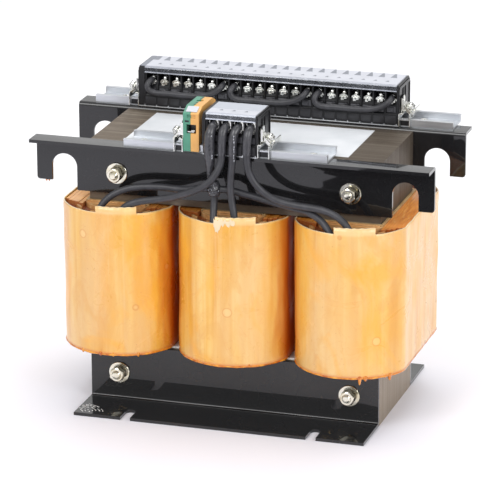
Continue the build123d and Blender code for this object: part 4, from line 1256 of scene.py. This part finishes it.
bolts_small.done("end_clamp_screw_set", "bright_zinc", ["end_clamp_screws"])
clips.done("end_clamp_clips", "black_moulding")

# ---------------------------------------------------------------- tops of the coils
boards, lips = Build(), Build()
for name, cx in coils.items():
    rnd = random.Random(int(cx) + 500)
    for s in (-1, 1):
        edge = [(31.95, -68.0), (49.9, -68.0), (52.5, -60.0), (52.6, 0.0), (52.5, 60.0), (49.9, 68.0), (31.95, 68.0)]
        # five boards side by side, each with its own height and end
        cuts = [31.95, 36.2, 40.6, 45.0, 49.0, 52.7]
        for i in range(5):
            xa, xb = cuts[i] + 0.05, cuts[i + 1] - 0.05
            reach = 71.0 - 0.16 * (xb - 32) ** 1.35 + rnd.uniform(-1.4, 1.4)
            top = 200.9 + rnd.uniform(-0.35, 0.75)
            x_lo, x_hi = sorted((cx + s * xa, cx + s * xb))
            boards.box((x_lo, -reach, 190.0), (x_hi, reach + rnd.uniform(-1, 1), top), 0.25)
    # thin board strips behind the lips at the two ends
    for e in (-1, 1):
        for k, (half, ylo, yhi, top) in enumerate(((29.0, 61.6, 64.6, 202.6), (26.0, 65.0, 68.0, 201.6))):
            ya, yb = sorted((e * ylo, e * yhi))
            lips.box((cx - half, ya, 196.0), (cx + half, yb, top + rnd.uniform(-0.2, 0.2)), 0.3)
boards.done("coil_top_boards", "flank_board")
lips.done("coil_end_strips", "spacer_board")

# ---------------------------------------------------------------- varnish runs, beads and torn paper on the wraps
beads = Build()


def tube_ring(b, ring, z, out_by, radius, seed):
    pts = []
    n = len(ring)
    for k in range(0, n, 2):
        x, y, nrm = ring[k]
        w = radius * (1.0 + 0.55 * noise.noise(Vector((x * 0.11 + seed, y * 0.11, 0))))
        pts.append((x + nrm.x * out_by, y + nrm.y * out_by, nrm, max(0.35, w)))
    sides = 10
    verts, faces = [], []
    for x, y, nrm, w in pts:
        for j in range(sides):
            a = 2 * math.pi * j / sides
            verts.append((x + nrm.x * math.cos(a) * w * 0.75, y + nrm.y * math.cos(a) * w * 0.75, z + math.sin(a) * w))
    m = len(pts)
    for i in range(m):
        for j in range(sides):
            faces.append(
                (i * sides + j, i * sides + (j + 1) % sides, ((i + 1) % m) * sides + (j + 1) % sides, ((i + 1) % m) * sides + j)
            )
    b.shell(verts, faces)


for i, name in enumerate(coils):
    tube_ring(beads, wraps[name][1], 60.7, -0.1, 0.95, 7.7 * i)


def cap_y(cx, x, r=57.2):
    return -45.0 - math.sqrt(max(1.0, r * r - (x - cx) ** 2))


drips = Build()
for cx, x, drop, w in (
    (-116, -141.0, 2.6, 1.9), (-116, -121.0, 2.2, 2.4), (-116, -108.5, 2.3, 1.5), (-116, -86.0, 2.6, 2.1),
    (116, 136.0, 6.6, 2.3), (116, 141.0, 3.2, 2.6), (116, 160.5, 5.4, 2.6), (116, 157.0, 2.2, 1.6),
    (0, -24.0, 1.5, 1.8), (0, 26.0, 1.6, 1.6),
):
    y = cap_y(cx, x, 56.2)
    drips.lathe(
        [(0.0, 2.2), (w * 0.45, 1.9), (w * 0.75, 1.1), (w * 0.85, 0.2), (w * 0.72, -drop * 0.35),
         (w * 0.55, -drop * 0.75), (w * 0.3, -drop), (0.0, -drop * 1.08)],
        (x, y, 61.2), (0.02, 0, 1), 16,
    )
for x, y, z in ((-188.2, -60.2, 218.2), (-185.6, -60.2, 218.4)):
    drips.lathe([(0.0, 1.2), (0.9, 0.7), (1.1, 0.0), (0.6, -1.3), (0.0, -1.7)], (x, y, z), (0, 0, 1), 14)
beads.done("wrap_bead", "amber_varnish")
drips.done("varnish_drips", "amber_varnish")

# torn paper left on the middle wrap
torn = Build()
rnd = random.Random(8)
nx_t, nz_t = 26, 14
front_v, back_v = [], []
for i in range(nx_t + 1):
    x = -6.2 + 20.4 * i / nx_t
    for j in range(nz_t + 1):
        ragged = 1.2 * noise.noise(Vector((i * 0.8, j * 0.7, 2.0)))
        low = 201.4 + 5.0 * noise.noise(Vector((i * 0.47, 0.3, 5.1))) - 7.5 * math.exp(-(((x + 2.6) / 3.0) ** 2))
        high = 206.6 + 3.0 * noise.noise(Vector((i * 0.55, 1.7, 9.0)))
        low = min(low, high - 1.0)
        z = low + (high - low) * j / nz_t
        y = cap_y(0.0, x, 57.55 + 0.5 * noise.noise(Vector((x * 0.09 + 1, z * 0.1, 3.3))))
        front_v.append((x + 0.25 * ragged, y - 0.2, z))
        back_v.append((x + 0.25 * ragged, y + 0.9, z))
row = nz_t + 1
faces = []
off = len(front_v)
for i in range(nx_t):
    for j in range(nz_t):
        q = (i * row + j, (i + 1) * row + j, (i + 1) * row + j + 1, i * row + j + 1)
        faces.append(q)
        faces.append(tuple(off + k for k in q[::-1]))
border = [i * row for i in range(nx_t + 1)] + [nx_t * row + j for j in range(1, row)]
border += [i * row + nz_t for i in range(nx_t - 1, -1, -1)] + [j for j in range(nz_t - 1, 0, -1)]
for k in range(len(border)):
    p, q = border[k], border[(k + 1) % len(border)]
    faces.append((p, off + p, off + q, q))
torn.shell(front_v + back_v, faces)
torn.done("torn_paper", "paper_scrap")

# ---------------------------------------------------------------- scuffs and dirt on the front foot
scuffs, dirt = Build(), Build()
rnd = random.Random(21)
for k in range(7):
    r = 9.0 + 2.7 * k
    start = rnd.uniform(0.25, 0.5)
    for j in range(6):
        if rnd.random() < 0.25:
            continue
        a0, a1 = start + j * 0.16, start + j * 0.16 + 0.13
        w = rnd.uniform(0.4, 0.95)
        ring_pts = [(-148.5 + rr * math.cos(a) * 1.25, -113.5 + rr * math.sin(a)) for rr, a in ((r, a0), (r + w, a0), (r + w, a1), (r, a1))]
        scuffs.prism([(min(max(px, -144.0), -118), min(max(py, -114.0), -70)) for px, py in ring_pts], ((0, 0, 3.15), (1, 0, 0), (0, 1, 0)), 0.1)
for k in range(46):
    if k % 2:
        px, py = rnd.gauss(-104, 5.0), rnd.uniform(-112, -84)
    else:
        px, py = rnd.gauss(116, 9.0), rnd.uniform(-113, -86)
    if abs(px + 92.8) < 6.5 or abs(px - 92.8) < 6.5 or px > 143 or py < -113.5:
        continue
    q = rnd.uniform(0.25, 0.75)
    dirt.prism(
        [(px + q * rnd.uniform(0.7, 1.3) * math.cos(a), py + q * rnd.uniform(0.7, 1.3) * math.sin(a)) for a in (0, 1.2, 2.4, 3.7, 5.0)],
        ((0, 0, 3.15), (1, 0, 0), (0, 1, 0)), 0.12,
    )
scuffs.done("foot_scuffs", "scuff")
dirt.done("foot_dirt", "rust_fleck")

# ---------------------------------------------------------------- taped splice on the leads
line = [Vector((-11.0 + 0.5 * math.sin(k * 0.23), -85.0, 224.2 + k * 0.5)) * MM for k in range(31)]


def lump(t, a):
    p = Vector((math.cos(a) * 1.6, math.sin(a) * 1.6, t * 6))
    wave_r = 0.35 * abs(math.sin(t * 19 + 0.7 * math.sin(a)))
    bulge = math.sin(math.pi * min(1, max(0, t * 1.02))) ** 0.45
    flat = 1.0 + 0.16 * math.cos(2 * a)
    return (3.7 + 1.55 * bulge + wave_r + 0.85 * noise.noise(p)) * flat * MM


v_s, f_s = sweep(line, lump, 36)
me = mesh_of("lead_tape", v_s, f_s)
piece("lead_tape", me, "shrink_sleeve", ["lead_splice"], smooth=True)
painted_glints_and_flecks = Build()
for x, y, z, r in (
    (-15.4, -89.6, 231.1, 0.5), (-11.6, -91.2, 231.8, 0.42), (-8.6, -91.0, 233.8, 0.48), (-5.4, -88.6, 230.6, 0.5),
    (-13.4, -91.0, 228.4, 0.3), (-9.9, -90.8, 236.4, 0.3), (-10.4, -91.4, 229.8, 0.25),
):
    painted_glints_and_flecks.lathe([(0.0, -0.4), (r * 0.8, -0.3), (r, 0.0), (r * 0.6, 0.35), (0.0, 0.45)], (x, y, z), (0.3, -1, 0.5), 8)
# painted highlights: white flecks along the right edges of the sleeves stand in for glints on their wrinkles
rnd = random.Random(33)
for x_side, y_side, z_lo, z_hi, many in ((-10.9, -91.6, 262, 286, 11), (10.7, -91.3, 262, 287, 10), (-11.6, -88.4, 246, 262, 5)):
    for k in range(many):
        z = z_lo + (z_hi - z_lo) * (k + rnd.uniform(0.1, 0.9)) / many
        r = rnd.uniform(0.25, 0.5)
        painted_glints_and_flecks.lathe(
            [(0.0, -1.1), (r * 0.8, -0.6), (r, 0.0), (r * 0.6, 0.7), (0.0, 1.0)],
            (x_side + rnd.uniform(-0.35, 0.25), y_side + rnd.uniform(-0.2, 0.3), z), (0.15, 0, 1), 8,
        )
painted_glints_and_flecks.done("tape_painted_glints_and_flecks", "white_marker")

# ---------------------------------------------------------------- floor, light
floor_mesh = mesh_of("floor", [(-6, -6, 0), (6, -6, 0), (6, 9, 0), (-6, 9, 0)], [(0, 1, 2, 3)])
floor = bpy.data.objects.new("floor", floor_mesh)
scene.collection.objects.link(floor)
floor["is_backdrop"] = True
fm = Mat("floor_paper")
fv = fm.at()
# painted light: the floor is painted paler further back
painted_far_light = fm.band("Y", -400, 900)
fm.set(
    "Base Color",
    fm.mix(painted_far_light, srgb(232, 231, 240), srgb(252, 252, 254)),
)
fm.set("Roughness", fm.ramp(fm.noise(fv, 8, 2, 0.5), (0.3, 0.5), (0.7, 0.6)))
fm.bump(fm.noise(fv, 500, 2, 0.5), 0.05, 0.0002)
floor_mesh.materials.append(fm.m)

# black card on the table in front, seen only as a reflection in the gloss paint
rnd = random.Random(5)
left_edge = [(-0.136 + 0.010 * rnd.uniform(-1, 1) - 0.02 * ((y + 0.95) / 0.45) + 0.2 * max(0.0, -y - 0.7), y) for y in [-0.5 - 0.02 * k for k in range(50)]]
card_mesh = mesh_of(
    "dark_card", [(x, y, 0.003) for x, y in left_edge] + [(0.9, left_edge[-1][1], 0.003), (0.9, -0.5, 0.003)],
    [tuple(range(len(left_edge) + 2))],
)
card = bpy.data.objects.new("dark_card", card_mesh)
scene.collection.objects.link(card)
card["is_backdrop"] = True
for ray in ("camera", "diffuse", "transmission", "volume_scatter", "shadow"):
    setattr(card, f"visible_{ray}", False)
cm = Mat("dark_card", Base_Color=(0.004, 0.004, 0.004), Roughness=0.9)
cm.set("Specular IOR Level", 0.0)
cm.bump(cm.noise(cm.at(), 300, 2, 0.5), 0.1, 0.0002)
card_mesh.materials.append(cm.m)

world = bpy.data.worlds.new("studio")
scene.world = world
world.use_nodes = True
bg = world.node_tree.nodes["Background"]
bg.inputs["Color"].default_value = (1.0, 1.0, 1.0, 1.0)
bg.inputs["Strength"].default_value = 0.75


def area(name, place, aim, size, power, colour=(1, 1, 1), size_y=None):
    data = bpy.data.lights.new(name, "AREA")
    data.shape = "RECTANGLE"
    data.size = size
    data.size_y = size_y or size
    data.energy = power
    data.color = colour
    obj = bpy.data.objects.new(name, data)
    scene.collection.objects.link(obj)
    obj.location = place
    obj.rotation_euler = (Vector(aim) - Vector(place)).to_track_quat("-Z", "Y").to_euler()
    return obj


area("key_light", (-0.7, -1.9, 1.9), (0, 0, 0.12), 1.2, 24)
area("fill_light", (1.9, -1.3, 1.3), (0, 0, 0.12), 1.2, 21)
area("top_light", (0.1, 0.6, 2.2), (0, 0, 0.2), 1.6, 22)

# ---------------------------------------------------------------- size
lo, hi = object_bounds()
